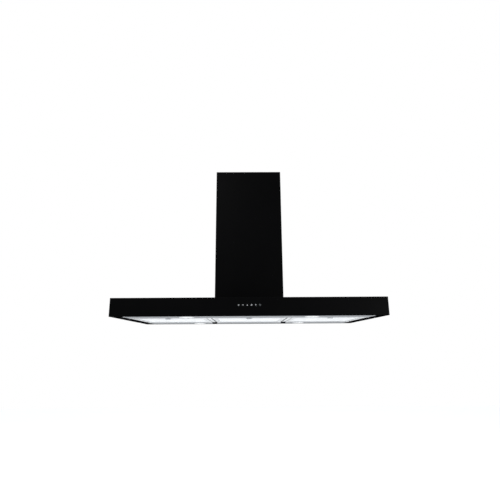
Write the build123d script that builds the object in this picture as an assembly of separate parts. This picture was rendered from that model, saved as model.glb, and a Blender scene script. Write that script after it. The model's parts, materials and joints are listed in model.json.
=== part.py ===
from build123d import *
import math
import os

# Island range hood: a flat black canopy hung under a ceiling by a telescopic frame inside a
# rectangular chimney. Three baffle filters close the underside between two lamp panels, and a
# double-inlet blower in the chimney's foot blows up through a 150 mm collar with two flaps.
# Frame: millimetres, +Z up, front face towards -Y, origin at the ceiling plane in the middle of
# the four ceiling bolts. Each function makes one piece, or one group of identical pieces.

# ---- driving dimensions
canopy_width = 1200.0
canopy_depth = 650.0
canopy_height = 80.0
chimney_width = 328.0
chimney_depth = 300.0
chimney_height = 668.0  # canopy top to ceiling with the frame pushed fully together
extension = 300.0  # how far the frame lets the canopy down

shell_gauge = 1.2
chimney_gauge = 1.0
fascia_gauge = 1.5
fascia_depth = 12.0
panel_gauge = 1.0
fold_radius = 2.0

filter_count = 3
bay_depth = 368.0
divider_width = 20.0
side_rail_width = 45.8
rail_height = 16.0

key_count = 5
key_pitch = 18.4
key_drop = 33.5  # canopy top down to the row of keys
key_radius = 6.8

collar_radius = 75.0
collar_height = 50.0
ceiling_bolt_x = 230.0
ceiling_bolt_y = 200.0
ceiling_bolt_radius = 4.5
duct_opening_radius = 112.0
cable_hole_radius = 11.0
screw_radius = 1.5

# ---- places that follow from them
half_width = canopy_width / 2
y_front = -canopy_depth / 2
y_rear = canopy_depth / 2
y_shell = y_front + fascia_depth
z_top = -chimney_height
z_bottom = z_top - canopy_height
z_key = z_top - key_drop
z_panel = z_bottom + shell_gauge  # underside of the lamp panels, rails and filters

lip = 14.0
bay_front = -bay_depth / 2
bay_rear = bay_depth / 2
field_half = half_width - shell_gauge - side_rail_width
bay_width = (2 * field_half - (filter_count - 1) * divider_width) / filter_count
bay_centres = [(i - 1) * (bay_width + divider_width) for i in range(filter_count)]
divider_centres = [(i - 0.5) * (bay_width + divider_width) for i in range(filter_count - 1)]

# filters
filter_gap = 2.2
filter_width = bay_width - 2 * filter_gap
filter_front = bay_front + 2.0
filter_rear = bay_rear - 3.0
filter_height = 18.0
filter_wall = 1.0
front_member = 30.0
rear_member = 22.0
pivot_y = filter_rear - 8.0
pivot_z = z_panel + filter_height / 2
pin_radius = 2.5
pin_play = 0.1

# latch
latch_z = z_panel + 6.0  # underside of the nose
nose_thickness = 2.5
nose_half = 14.0

# blower
box_x, box_y = 136.0, 116.0
box_top = z_top + 263.0
scroll_half = 60.0
blower_y = -25.0
blower_z = z_top + 106.0
impeller_radius = 70.0
blade_root = 58.0
shaft_radius = 4.0
flap_z = box_top + 30.0
flap_hinge_y = 3.5
air_x, air_y = 125.0, 100.0  # half sizes of the air opening in the canopy's top

# frame
upper_x, upper_y = 156.0, 142.0  # outside of the upper angles
angle_gauge = 2.0
slide_play = 0.3
frame_bolt_z = -400.0
lamp_places = [(x, y) for y in (-248.0, 254.0) for x in (-280.0, 280.0)]
power_box_x, power_box_y, power_box_z = (-62.0, 62.0), (box_y, box_y + 22.0), (z_top + 30, z_top + 160)
gland_x, gland_y = 40.0, box_y + 11.0

# screws that hold the underside together, each (x, y, height of the face under its head)
tab_places = [(x, y_shell + 10.0, z_panel) for x in (-540.0, -188.0, 188.0, 540.0)]
lip_places = [(x, y_rear - 7.0, z_bottom) for x in (-540.0, -188.0, 188.0, 540.0)]
lip_places += [(side * (half_width - 7.0), y, z_bottom) for side in (-1, 1) for y in (-150.0, 150.0)]

os.makedirs("parts", exist_ok=True)


# ---- helpers
def block(x, y, z):
    """A box given by a (low, high) pair along each axis."""
    low, high = zip(x, y, z)
    size = [b - a for a, b in zip(low, high)]
    middle = [(a + b) / 2 for a, b in zip(low, high)]
    return Pos(*middle) * Box(*size)


def rod(radius, start, end):
    """A round bar from one point to another."""
    start, end = Vector(*start), Vector(*end)
    along = end - start
    upright = (Align.CENTER, Align.CENTER, Align.MIN)
    return Plane(origin=start, z_dir=along) * Cylinder(radius, along.length, align=upright)


def tube(width, depth, z, gauge, corner):
    """A rectangular sheet tube round the Z axis, z being its (low, high)."""
    height = z[1] - z[0]
    outer = extrude(RectangleRounded(width, depth, corner), height)
    inner = extrude(RectangleRounded(width - 2 * gauge, depth - 2 * gauge, corner - gauge), height)
    return Pos(0, 0, z[0]) * (outer - inner)


def mirrored_four(piece):
    """The piece and its mirror images across X and Y."""
    pair = [piece, mirror(piece, Plane.YZ)]
    return pair + [mirror(p, Plane.XZ) for p in pair]


def drilled(sheet, places):
    """The sheet with a clearance hole for the screw at each place."""
    for x, y, face in places:
        sheet -= rod(screw_radius + 0.1, (x, y, face - 1), (x, y, face + 5))
    return sheet


def write(name, *pieces):
    """Writes every solid of the pieces as one node."""
    solids = [s for p in pieces for s in p.solids()]
    export_step(Compound(solids), f"parts/{name}.step")


def coil(radius, wire, length, turns):
    """A compression spring standing on the XY plane."""
    pitch = (length - 2 * wire) / turns
    helix = Pos(0, 0, wire) * Helix(pitch, length - 2 * wire, radius)
    section = Plane(origin=helix @ 0, z_dir=helix % 0) * Circle(wire / 2)
    return sweep(section, path=helix)


# ---- ceiling side: bracket, upper frame, upper chimney
def ceiling_bracket():
    """A tray open downwards, with the duct opening, the bolt holes and the mains cable's hole."""
    half_x, half_y, gauge, drop = upper_x + 2.5, upper_y + 2.5, 2.5, 35.0
    bracket = Pos(0, 0, -drop) * extrude(RectangleRounded(2 * half_x, 2 * half_y, 3.0), drop)
    bracket -= block((-upper_x, upper_x), (-upper_y, upper_y), (-drop - 1, -gauge))
    bracket -= rod(duct_opening_radius, (0, 0, -10), (0, 0, 10))
    bracket -= rod(cable_hole_radius, (gland_x, gland_y, -10), (gland_x, gland_y, 10))
    for x in (-ceiling_bolt_x / 2, ceiling_bolt_x / 2):
        for y in (-ceiling_bolt_y / 2, ceiling_bolt_y / 2):
            bracket -= rod(ceiling_bolt_radius, (x, y, -10), (x, y, 10))
    for y in (-90.0, 90.0):
        bracket -= rod(1.7, (-half_x - 1, y, -18), (half_x + 1, y, -18))
    relief = block((half_x - 6, half_x + 1), (half_y - 6, half_y + 1), (-drop - 1, -gauge))
    for corner in mirrored_four(relief):
        bracket -= corner
    return bracket


def angle(x, y, leg, gauge, z):
    """One corner angle whose outer corner stands at (x, y)."""
    inside = block((x - leg - 1, x - gauge), (y - leg - 1, y - gauge), z)
    return block((x - leg, x), (y - leg, y), z) - inside


def frame_upper():
    bar = angle(upper_x, upper_y, 25.0, angle_gauge, (-420.0, -2.5))
    bar -= rod(3.2, (upper_x - 10, upper_y - 14, frame_bolt_z), (upper_x + 10, upper_y - 14, frame_bolt_z))
    return mirrored_four(bar)


def frame_lower():
    """Four slotted angles welded to a base ring below and to ties near their tops."""
    x, y = upper_x - angle_gauge - slide_play, upper_y - angle_gauge - slide_play
    top, base = -40.0, 3.0
    bar = angle(x, y, 23.0, angle_gauge, (z_top + base, top))
    slot_z = (frame_bolt_z, frame_bolt_z + extension)
    slot = block((x - 10, x + 10), (upper_y - 17.3, upper_y - 10.7), slot_z)
    for end in slot_z:
        slot += rod(3.3, (x - 10, upper_y - 14, end), (x + 10, upper_y - 14, end))
    bar -= slot
    frame = block((-x, x), (-y, y), (z_top, z_top + base))
    frame -= block((-box_x - 0.5, box_x + 0.5), (-box_y - 0.5, box_y + 0.5), (z_top - 1, z_top + base + 1))
    frame -= rod(5.0, (0, 128.0, z_top - 1), (0, 128.0, z_top + base + 1))
    for corner in mirrored_four(bar):
        frame += corner
    in_x, in_y, tie = x - angle_gauge, y - angle_gauge, 2.0
    for side in (-1, 1):
        ends = sorted((side * in_y, side * (in_y - tie)))
        frame += block((-in_x, in_x), ends, (top - 22, top - 2))
        ends = sorted((side * in_x, side * (in_x - tie)))
        frame += block(ends, (-in_y, in_y), (top - 22, top - 2))
    return frame


def clamp_bolts():
    y = upper_y - 14
    bolt = rod(3.0, (upper_x - 16, y, frame_bolt_z), (upper_x + 0.01, y, frame_bolt_z))
    head = rod(6.0, (upper_x, y, frame_bolt_z), (upper_x + 2.4, y, frame_bolt_z))
    bolt += fillet(head.edges().sort_by(Axis.X)[-1], 1.0)
    face = upper_x - 2 * angle_gauge - 2 * slide_play
    hexagon = Plane(origin=(face, y, frame_bolt_z), z_dir=(-1, 0, 0)) * RegularPolygon(5.8, 6)
    nut = extrude(hexagon, 5.0) - rod(3.0, (face + 1, y, frame_bolt_z), (face - 6, y, frame_bolt_z))
    return mirrored_four(bolt) + mirrored_four(nut)


def chimney_upper():
    width, depth, low = chimney_width - 8, chimney_depth - 8, -398.0
    sleeve = tube(width, depth, (low, -1.0), chimney_gauge, 3.0)
    for i in range(6):
        z = -60.0 - 14 * i
        vent = block((-width, width), (-42, 42), (z - 2.5, z + 2.5))
        sleeve -= vent
    for y in (-90.0, 90.0):
        sleeve -= rod(2.1, (-width, y, -18), (width, y, -18))
    return sleeve


def chimney_screws():
    face, pieces = chimney_width / 2 - 4, []
    for side in (-1, 1):
        for y in (-90.0, 90.0):
            head = rod(3.8, (side * face, y, -18), (side * (face + 1.8), y, -18))
            slot_depth = sorted((side * (face + 1.0), side * (face + 3)))
            head -= block(slot_depth, (y - 0.5, y + 0.5), (-20.5, -15.5))
            pieces.append(head + rod(1.7, (side * (face - 6), y, -18), (side * (face + 0.5), y, -18)))
    return pieces


# ---- canopy and lower chimney
def chimney_lower():
    sleeve = tube(chimney_width, chimney_depth, (z_top, -1.5), chimney_gauge, 3.0)
    hem = tube(chimney_width - 2 * chimney_gauge, chimney_depth - 2 * chimney_gauge,
               (z_top, z_top + chimney_gauge), 7.0, 7.5)
    return sleeve + hem


def canopy_shell():
    """Top, rear and two sides in one folded sheet, with a lip turned in along the bottom."""
    outer = block((-half_width, half_width), (y_shell, y_rear), (z_bottom, z_top))
    folds = [e for e in outer.edges() if e.center().Y > y_shell + 1]
    outer = fillet(folds, fold_radius)
    inner = block((-half_width + shell_gauge, half_width - shell_gauge),
                  (y_shell - 1, y_rear - shell_gauge),
                  (z_bottom + shell_gauge, z_top - shell_gauge))
    mouth = block((-half_width + lip, half_width - lip), (y_shell - 1, y_rear - lip),
                  (z_bottom - 1, z_bottom + 2 * shell_gauge))
    shell = outer - inner - mouth
    air = Pos(0, 0, z_top - 10) * extrude(RectangleRounded(2 * air_x, 2 * air_y, 12), 20)
    shell -= air
    shell -= rod(5.0, (0, 128.0, z_top - 5), (0, 128.0, z_top + 5))
    return drilled(shell, lip_places)


def front_fascia():
    """A shallow tray with the holes for the five keys and the indicator."""
    outer = block((-half_width, half_width), (y_front, y_shell), (z_bottom, z_top))
    folds = [e for e in outer.edges() if e.center().Y < y_shell - 1]
    outer = fillet(folds, fascia_gauge)
    tray = outer - block((-half_width + fascia_gauge, half_width - fascia_gauge),
                         (y_front + fascia_gauge, y_shell + 1),
                         (z_bottom + fascia_gauge, z_top - fascia_gauge))
    for i in range(key_count):
        tray -= rod(key_radius + 0.3, (key_x(i), y_front - 1, z_key), (key_x(i), y_front + 3, z_key))
    x = key_x(key_count)
    tray -= rod(4.2, (x, y_front - 1, z_key), (x, y_front + 3, z_key))
    for x, y, face in tab_places:
        tray += block((x - 9, x + 9), (y_front + 1, y + 8), (face + panel_gauge, face + panel_gauge + 1.2))
    return drilled(tray, tab_places)


def key_x(place):
    """Six evenly spaced places: five keys, then the indicator."""
    return (place - key_count / 2) * key_pitch


def side_rails():
    rail = block((field_half, half_width - shell_gauge), (y_shell + 0.2, y_rear - shell_gauge),
                 (z_panel, z_panel + panel_gauge))
    rail += block((field_half, field_half + panel_gauge), (y_shell + 0.2, y_rear - shell_gauge),
                  (z_panel, z_panel + rail_height))
    rail -= block((field_half - 1, field_half + 16), (bay_rear - 27, bay_rear + 1),
                  (z_panel - 1, z_panel + rail_height + 1))
    return [drilled(piece, lip_places) for piece in (rail, mirror(rail, Plane.YZ))]


def lamp_panel(y, flange_y, lamp_y):
    """A flat sheet with two lamp holes and one edge turned up beside the filters."""
    panel = block((-field_half + 0.2, field_half - 0.2), y, (z_panel, z_panel + panel_gauge))
    panel += block((-field_half + 0.2, field_half - 0.2), flange_y, (z_panel, z_panel + rail_height))
    for x in (-280.0, 280.0):
        panel -= rod(27.2, (x, lamp_y, z_panel - 1), (x, lamp_y, z_panel + 3))
    return panel


def lamp_panel_front():
    panel = lamp_panel((y_shell + 0.2, bay_front), (bay_front - panel_gauge, bay_front), lamp_places[0][1])
    for x in bay_centres:
        panel -= block((x - nose_half - 1.5, x + nose_half + 1.5), (bay_front - 3, bay_front + 1),
                       (latch_z - 0.5, latch_z + nose_thickness + 0.5))
    return drilled(panel, tab_places)


def lamp_panel_rear():
    ends = (bay_rear, y_rear - shell_gauge)
    return drilled(lamp_panel(ends, (bay_rear, bay_rear + panel_gauge), lamp_places[-1][1]), lip_places)


def divider_bars():
    bars = []
    for x in divider_centres:
        half = divider_width / 2
        bar = block((x - half, x + half), (bay_front, bay_rear - 26), (z_panel, z_panel + rail_height))
        bar -= block((x - half + panel_gauge, x + half - panel_gauge), (bay_front - 1, bay_rear),
                     (z_panel + panel_gauge, z_panel + rail_height + 1))
        bars.append(bar)
    return bars


def filter_clips():
    """Nylon blocks behind the dividers and in the side rails. Pins drop into their open slots."""
    clips = []
    low, high = z_panel - 7.0, z_panel + filter_height
    outer = [(-field_half - 14.0, -field_half + 1.5), (field_half - 1.5, field_half + 14.0)]
    middle = [(x - divider_width / 2 - 1.5, x + divider_width / 2 + 1.5) for x in divider_centres]
    for ends in outer + middle:
        clip = block(ends, (bay_rear - 25.8, bay_rear - 0.2), (low, high))
        clip = fillet(clip.edges().group_by(Axis.Z)[0], 2.0)
        clip -= rod(pin_radius + pin_play, (ends[0] - 1, pivot_y, pivot_z), (ends[1] + 1, pivot_y, pivot_z))
        reach = pin_radius + pin_play
        clip -= block((ends[0] - 1, ends[1] + 1), (pivot_y - reach, pivot_y + reach), (pivot_z, high + 1))
        clips.append(clip)
    return clips


def panel_screws():
    """Cross-recess screws, heads downwards, that hold the lamp panels and side rails."""
    pieces = []
    for x, y, face in tab_places + lip_places:
        screw = rod(3.4, (x, y, face - 1.3), (x, y, face))
        screw = fillet(screw.edges().group_by(Axis.Z)[0], 0.8)
        screw -= block((x - 1.9, x + 1.9), (y - 0.4, y + 0.4), (face - 2, face - 0.6))
        screw -= block((x - 0.4, x + 0.4), (y - 1.9, y + 1.9), (face - 2, face - 0.6))
        pieces.append(screw + rod(screw_radius, (x, y, face - 0.5), (x, y, face + 7)))
    return pieces


# ---- lamps
def lamp_bezels():
    rings = []
    for x, y in lamp_places:
        ring = Pos(x, y, z_panel - 2.0) * (Cylinder(33, 2, align=(Align.CENTER, Align.CENTER, Align.MIN)))
        ring = fillet(ring.edges().group_by(Axis.Z)[0], 1.2)
        ring += rod(27.0, (x, y, z_panel - 0.5), (x, y, z_panel + 6))
        ring -= rod(25.0, (x, y, z_panel - 3), (x, y, z_panel + 7))
        rings.append(ring)
    return rings


def lamp_lenses():
    return [rod(25.0, (x, y, z_panel - 1.4), (x, y, z_panel + 1.2)) for x, y in lamp_places]


def lamp_bodies():
    """Finned aluminium cans above the panel, each with a spring clip on either side."""
    cans = []
    for x, y in lamp_places:
        can = rod(25.0, (x, y, z_panel + 1.2), (x, y, z_panel + 8))
        can += rod(27.0, (x, y, z_panel + 6), (x, y, z_panel + 20))
        for i in range(5):
            offset = (i - 2) * 9.0
            can -= block((x - 30, x + 30), (y + offset - 2, y + offset + 2), (z_panel + 10, z_panel + 21))
        for side in (-1, 1):
            ends = sorted((x + side * 25.5, x + side * 40))
            can += block(ends, (y - 5, y + 5), (z_panel + 6.0, z_panel + 6.8))
            ends = sorted((x + side * 39.2, x + side * 40))
            can += block(ends, (y - 5, y + 5), (z_panel + 1.0, z_panel + 6.8))
        cans.append(can)
    return cans


# ---- filters
def filter_frame(x):
    """A hollow pressed frame, open inwards, with a latch slot, and a pivot pin on either side."""
    half = filter_width / 2
    span = (x - half, x + half)
    outer = block(span, (filter_front, filter_rear), (z_panel, z_panel + filter_height))
    outer = fillet(outer.edges().filter_by(Axis.Z, reverse=True), 3.5)
    inner = block((x - half + filter_wall, x + half - filter_wall),
                  (filter_front + filter_wall, filter_rear - filter_wall),
                  (z_panel + filter_wall, z_panel + filter_height - filter_wall))
    inner = fillet(inner.edges().filter_by(Axis.Z, reverse=True), 2.5)
    window = block((x - half + rear_member, x + half - rear_member),
                   (filter_front + front_member, filter_rear - rear_member),
                   (z_panel - 1, z_panel + filter_height + 1))
    frame = outer - inner - window
    knob_slot = (filter_front + 3.4, filter_front + 16.6)
    frame -= block((x - 13.6, x + 13.6), knob_slot, (z_panel - 1, z_panel + 2))
    frame -= block((x - nose_half - 0.6, x + nose_half + 0.6), (filter_front - 1, filter_front + 2),
                   (latch_z - 0.4, latch_z + nose_thickness + 0.4))
    frame -= rod(pin_radius, (x - half - 1, pivot_y, pivot_z), (x - half + 3, pivot_y, pivot_z))
    frame -= rod(pin_radius, (x + half - 3, pivot_y, pivot_z), (x + half + 1, pivot_y, pivot_z))
    pieces = [frame]
    for side in (-1, 1):
        wall = x + side * (half - filter_wall)
        pin = rod(pin_radius, (wall, pivot_y, pivot_z), (wall + side * 9, pivot_y, pivot_z))
        pin = chamfer(pin.edges().sort_by(Axis.X)[-1 if side > 0 else 0], 0.8)
        pin += rod(4.0, (wall - side * 2, pivot_y, pivot_z), (wall, pivot_y, pivot_z))
        pieces.append(pin)
    return pieces


def baffle_core(x):
    """Two rows of folded channels, the upper row over the gaps of the lower, in a rim of strips."""
    half = filter_width / 2 - 12.0
    front, rear = filter_front + 23.0, filter_rear - 10.0
    count, gauge, width, depth = 13, 0.9, 17.0, 5.6
    pitch = (rear - front) / count
    low, high = z_panel + filter_wall + 0.4, z_panel + filter_height - filter_wall - 0.4

    def channel(middle, base, up):
        """A channel section with rounded edges, open upwards if up is 1 and downwards if -1."""
        section = RectangleRounded(width, depth, 2.4)
        section -= RectangleRounded(width - 2 * gauge, depth - 2 * gauge, 1.5)
        section -= Pos(0, up * depth / 2) * Rectangle(width - 2 * gauge - 2.0, depth)
        return Plane(origin=(x - half, middle, base), x_dir=(0, 1, 0), z_dir=(1, 0, 0)) * section

    core = None
    for i in range(count):
        middle = front + pitch * (i + 0.5)
        bar = extrude(channel(middle, low + depth / 2, 1), 2 * half)
        core = bar if core is None else core + bar
    for i in range(count - 1):
        middle = front + pitch * (i + 1)
        core += extrude(channel(middle, high - depth / 2, -1), 2 * half)
    for y in (front, rear - 2.0):
        core += block((x - half, x + half), (y, y + 2.0), (low + 0.2, high - 0.2))
    for end in (x - half, x + half - 2.0):
        core += block((end, end + 2.0), (front, rear), (low + 0.2, high - 0.2))
    return core


def filter_latch(x):
    """A sliding block in the front member: nose forwards, finger knob down through the slot."""
    front = filter_front + filter_wall + 0.2
    body = block((x - 20, x + 20), (front, front + 10), (z_panel + 3, z_panel + 14))
    nose = (latch_z, latch_z + nose_thickness)
    body += block((x - nose_half, x + nose_half), (filter_front - 7, front + 1), nose)
    knob = block((x - 13, x + 13), (filter_front + 4, filter_front + 10), (z_panel - 6, z_panel + 4))
    knob = fillet(knob.edges().filter_by(Axis.Z), 2.5)
    knob = fillet(knob.edges().group_by(Axis.Z)[0], 1.5)
    return body + knob


def latch_springs(x):
    front = filter_front + filter_wall + 0.2 + 10
    pieces = []
    for offset in (-12.0, 12.0):
        spring = coil(2.6, 0.7, 11.7, 6)
        pieces.append(Plane(origin=(x + offset, front, z_panel + 8), z_dir=(0, 1, 0)) * spring)
    return pieces


# ---- keys and electronics
def key(place):
    """A round cap with a retaining flange behind the fascia and a stem to the switch."""
    x, face = key_x(place), y_front - 0.6
    cap = rod(key_radius, (x, face, z_key), (x, y_front + fascia_gauge, z_key))
    cap = fillet(cap.edges().sort_by(Axis.Y)[0], 0.5)
    cap += rod(key_radius + 1.4, (x, y_front + fascia_gauge, z_key), (x, y_front + fascia_gauge + 1, z_key))
    return cap + rod(2.5, (x, y_front + fascia_gauge + 0.5, z_key), (x, y_front + 9.0, z_key))


def key_springs():
    start, pieces = y_front + fascia_gauge + 1.1, []
    for place in range(key_count):
        spring = coil(3.6, 0.5, 4.8, 3)
        pieces.append(Plane(origin=(key_x(place), start, z_key), z_dir=(0, 1, 0)) * spring)
    return pieces


def key_carrier():
    """A plate with a guide hole for each stem, standing on four posts behind the fascia."""
    front = y_front + 7.5
    carrier = block((-72, 72), (front, front + 2.5), (z_key - 15, z_key + 15))
    for x in (-66.0, 66.0):
        for z in (z_key - 11, z_key + 11):
            carrier += rod(3.5, (x, y_front + fascia_gauge, z), (x, front + 1, z))
            carrier += rod(3.0, (x, front + 1, z), (x, y_front + 14.0, z))
    for place in range(key_count):
        x = key_x(place)
        carrier -= rod(2.6, (x, front - 1, z_key), (x, front + 4, z_key))
    carrier -= rod(3.0, (key_x(key_count), front - 1, z_key), (key_x(key_count), front + 4, z_key))
    return carrier


def indicator_lens():
    x = key_x(key_count)
    lens = rod(4.2, (x, y_front - 0.2, z_key), (x, y_front + fascia_gauge, z_key))
    return lens + rod(5.5, (x, y_front + fascia_gauge, z_key), (x, y_front + fascia_gauge + 1.2, z_key))


def control_board():
    """A circuit board with five tact switches, an indicator light, a chip and two connectors."""
    back = y_front + 14.0
    board = block((-70, 70), (back, back + 1.6), (z_key - 16, z_key + 16))
    pieces = [board]
    for place in range(key_count):
        x = key_x(place)
        switch = block((x - 3, x + 3), (back - 3.1, back), (z_key - 3, z_key + 3))
        pieces.append(switch + rod(1.7, (x, back - 3.4, z_key), (x, back - 3, z_key)))
    x = key_x(key_count)
    pieces.append(rod(2.5, (x, back - 6.0, z_key), (x, back, z_key)))
    pieces.append(block((-8, 8), (back + 1.6, back + 4.0), (z_key - 5, z_key + 5)))
    pieces.append(block((24, 42), (back + 1.6, back + 9.0), (z_key - 4, z_key + 4)))
    pieces.append(block((-54, -36), (back + 1.6, back + 9.0), (z_key - 4, z_key + 4)))
    return pieces


def power_box():
    """The mains electronics' box, open to the rear: a back plate and the four walls on it."""
    (x0, x1), (y0, y1), (z0, z1) = power_box_x, power_box_y, power_box_z
    back = block((x0, x1), (y0, y0 + 2), (z0, z1))
    left = block((x0, x0 + 2), (y0 + 2, y1), (z0, z1))
    right = block((x1 - 2, x1), (y0 + 2, y1), (z0, z1))
    foot = block((x0 + 2, x1 - 2), (y0 + 2, y1), (z0, z0 + 2))
    foot -= rod(3.2, (0, 128.0, z0 - 1), (0, 128.0, z0 + 3))
    top = block((x0 + 2, x1 - 2), (y0 + 2, y1), (z1 - 2, z1))
    top -= rod(6.0, (gland_x, gland_y, z1 - 3), (gland_x, gland_y, z1 + 1))
    return [back, left, right, foot, top]


def power_board():
    board = block((power_box_x[0] + 6, power_box_x[1] - 6), (power_box_y[0] + 5, power_box_y[0] + 6.6),
                  (power_box_z[0] + 14, power_box_z[1] - 14))
    for z in (power_box_z[0] + 20, power_box_z[1] - 20):
        for x in (-50.0, 50.0):
            board += rod(2.5, (x, power_box_y[0] + 2, z), (x, power_box_y[0] + 6, z))
    return board


def power_box_lid():
    lid = block(power_box_x, (power_box_y[1], power_box_y[1] + 2), power_box_z)
    lid = fillet(lid.edges().filter_by(Axis.Y), 3.0)
    for x in (-56.0, 56.0):
        for z in (power_box_z[0] + 6, power_box_z[1] - 6):
            lid += rod(2.6, (x, power_box_y[1] + 1, z), (x, power_box_y[1] + 3.6, z))
    return lid


def cable_gland():
    """Screwed gland in the top of the power box, where the house's mains cable comes in."""
    top = power_box_z[1]
    gland = rod(6.0, (gland_x, gland_y, top - 6), (gland_x, gland_y, top + 1))
    gland += rod(8.5, (gland_x, gland_y, top), (gland_x, gland_y, top + 5))
    gland += extrude(Pos(gland_x, gland_y, top + 5) * RegularPolygon(8.8, 6), 7.0)
    gland += rod(6.0, (gland_x, gland_y, top + 12), (gland_x, gland_y, top + 14))
    return gland - rod(4.0, (gland_x, gland_y, top - 10), (gland_x, gland_y, top + 20))


def led_driver():
    top = z_top - shell_gauge
    case = block((-410, -290), (180, 222), (top - 20, top))
    case = fillet(case.edges().group_by(Axis.Z)[0], 2.0)
    for x in (-416.0, -284.0):
        case += block((x - 8, x + 8), (192, 210), (top - 2, top))
        case -= rod(2.2, (x, 201, top - 3), (x, 201, top + 1))
    return case


def wiring_harness():
    """The control cable, clipped under the canopy's top on its way to the power box."""
    z_run = z_top - shell_gauge - 3.4
    route = [(-45, y_front + 23.2, z_key), (-45, y_front + 46, z_key), (-110, y_front + 80, z_run),
             (-160, -150, z_run), (-160, 70, z_run), (-70, 128, z_run), (0, 128, z_run - 6),
             (0, 128, z_top + 34)]
    path = FilletPolyline(*route, radius=[14, 20, 60, 60, 50, 10])
    section = Plane(origin=path @ 0, z_dir=path % 0) * Circle(3.0)
    return sweep(section, path=path)


# ---- blower
def motor_box():
    """Galvanised casing round the blower: a folded wrapper, a foot plate and a top plate."""
    outer = block((-box_x, box_x), (-box_y, box_y), (z_top + 1, box_top - 1))
    outer = fillet(outer.edges().filter_by(Axis.Z), 2.0)
    wrapper = outer - block((-box_x + 1, box_x - 1), (-box_y - 1, box_y - 1), (z_top, box_top))
    for side in (-1, 1):
        ends = sorted((side * (box_x - 0.5), side * (box_x - 13)))
        wrapper += block(ends, (-box_y + 1.2, -box_y + 2.2), (z_top + 1, box_top - 1))
    foot = block((-box_x, box_x), (-box_y, box_y), (z_top, z_top + 1))
    foot -= block((-air_x, air_x), (-box_y + 10, air_y), (z_top - 1, z_top + 2))
    top = block((-box_x, box_x), (-box_y, box_y), (box_top - 1, box_top))
    top -= rod(collar_radius - 2, (0, 0, box_top - 5), (0, 0, box_top + 5))
    return [wrapper, foot, top]


def motor_box_cover():
    cover = block((-box_x + 2, box_x - 2), (-box_y, -box_y + 1), (z_top + 1, box_top - 1.2))
    for z in (z_top + 10, box_top - 10):
        for x in (-box_x + 8, box_x - 8):
            cover += rod(3.5, (x, -box_y - 1.8, z), (x, -box_y + 0.5, z))
    return cover


def scroll_outline():
    """The blower housing's outline about the shaft: three quarter arcs that widen, then the outlet."""
    step, first = 7.0, 81.5
    c = step / 2
    top, left = (-c, -c + first), (-c - first, -c)
    bottom, right = (c, -c - first - step), (c + first + 2 * step, c)
    middle = math.sqrt(0.5)
    arcs = [
        ThreePointArc(top, (-c - middle * first, -c + middle * first), left),
        ThreePointArc(left, (c - middle * (first + step), -c - middle * (first + step)), bottom),
        ThreePointArc(bottom, (c + middle * (first + 2 * step), c - middle * (first + 2 * step)), right),
    ]
    mouth = 82.0
    lines = [Line(right, (right[0], mouth)), Line((right[0], mouth), (10, mouth)), Line((10, mouth), top)]
    return make_face(Wire(arcs + lines))


def scroll_half_shell(side):
    """One half of the housing, with the inlet ring in its outer wall."""
    wall = 2.0
    plane = Plane(origin=(0, blower_y, blower_z), x_dir=(0, 1, 0), z_dir=(1, 0, 0))
    face = scroll_outline()
    outer = extrude(plane * face, side * scroll_half)
    inner = extrude(plane * offset(face, -wall), side * (scroll_half - wall))
    shell = outer - inner
    reach = sorted((0, side * (scroll_half - wall)))
    shell -= block(reach, (blower_y + 13, blower_y + 97), (blower_z + 70, blower_z + 90))
    shell += on_shaft(64.0, *sorted((side * scroll_half, side * (scroll_half + 3))))
    return shell - on_shaft(60.0, *sorted((side * 50, side * 70)))


def outlet_adapter():
    """Duct from the housing's square outlet up to the round collar."""
    low, high, wall = blower_z + 82.0, box_top, 2.0

    def body(extra, below, above):
        """The duct's outline, grown by extra."""
        x, y0, y1 = scroll_half - wall + extra, blower_y + 11 - extra, blower_y + 99 + extra
        square = Plane.XY.offset(low - below) * Pos(0, (y0 + y1) / 2) * Rectangle(2 * x, y1 - y0)
        circle = Plane.XY.offset(high + above) * Circle(collar_radius - 2.5 + extra)
        return loft([square.face(), circle.face()])

    return body(0, 0, 0) - body(-wall, 0.01, 0.01)


def duct_collar():
    """Round spigot with a flange below and a ledge that the closed flaps rest on."""
    low, high = box_top, box_top + collar_height
    collar = rod(collar_radius, (0, 0, low), (0, 0, high)) + rod(90.0, (0, 0, low), (0, 0, low + 2))
    collar -= rod(collar_radius - 2, (0, 0, low - 1), (0, 0, high + 1))
    ledge = rod(collar_radius - 1, (0, 0, flap_z - 3.2), (0, 0, flap_z - 1.2))
    collar += ledge - rod(collar_radius - 6, (0, 0, low), (0, 0, high))
    for y in (-flap_hinge_y, flap_hinge_y):
        collar -= rod(1.6, (-collar_radius + 0.4, y, flap_z), (collar_radius - 0.4, y, flap_z))
    return collar


def damper_flap(side):
    """Half a disc on a barrel whose two stub axles turn in the collar's wall."""
    reach, y = collar_radius - 3.5, side * flap_hinge_y
    disc = rod(reach, (0, 0, flap_z - 0.6), (0, 0, flap_z + 0.6))
    keep = sorted((y + side * 1.0, side * 90))
    flap = disc & block((-90, 90), keep, (flap_z - 5, flap_z + 5))
    flap += rod(2.2, (-66, y, flap_z), (66, y, flap_z))
    for end in (-1, 1):
        flap += rod(1.5, (end * 65, y, flap_z), (end * (collar_radius - 0.8), y, flap_z))
    for x in (-40.0, 0.0, 40.0):
        ends = sorted((y, side * 58))
        flap += block((x - 0.6, x + 0.6), ends, (flap_z, flap_z + 2.4))
    return flap


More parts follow.
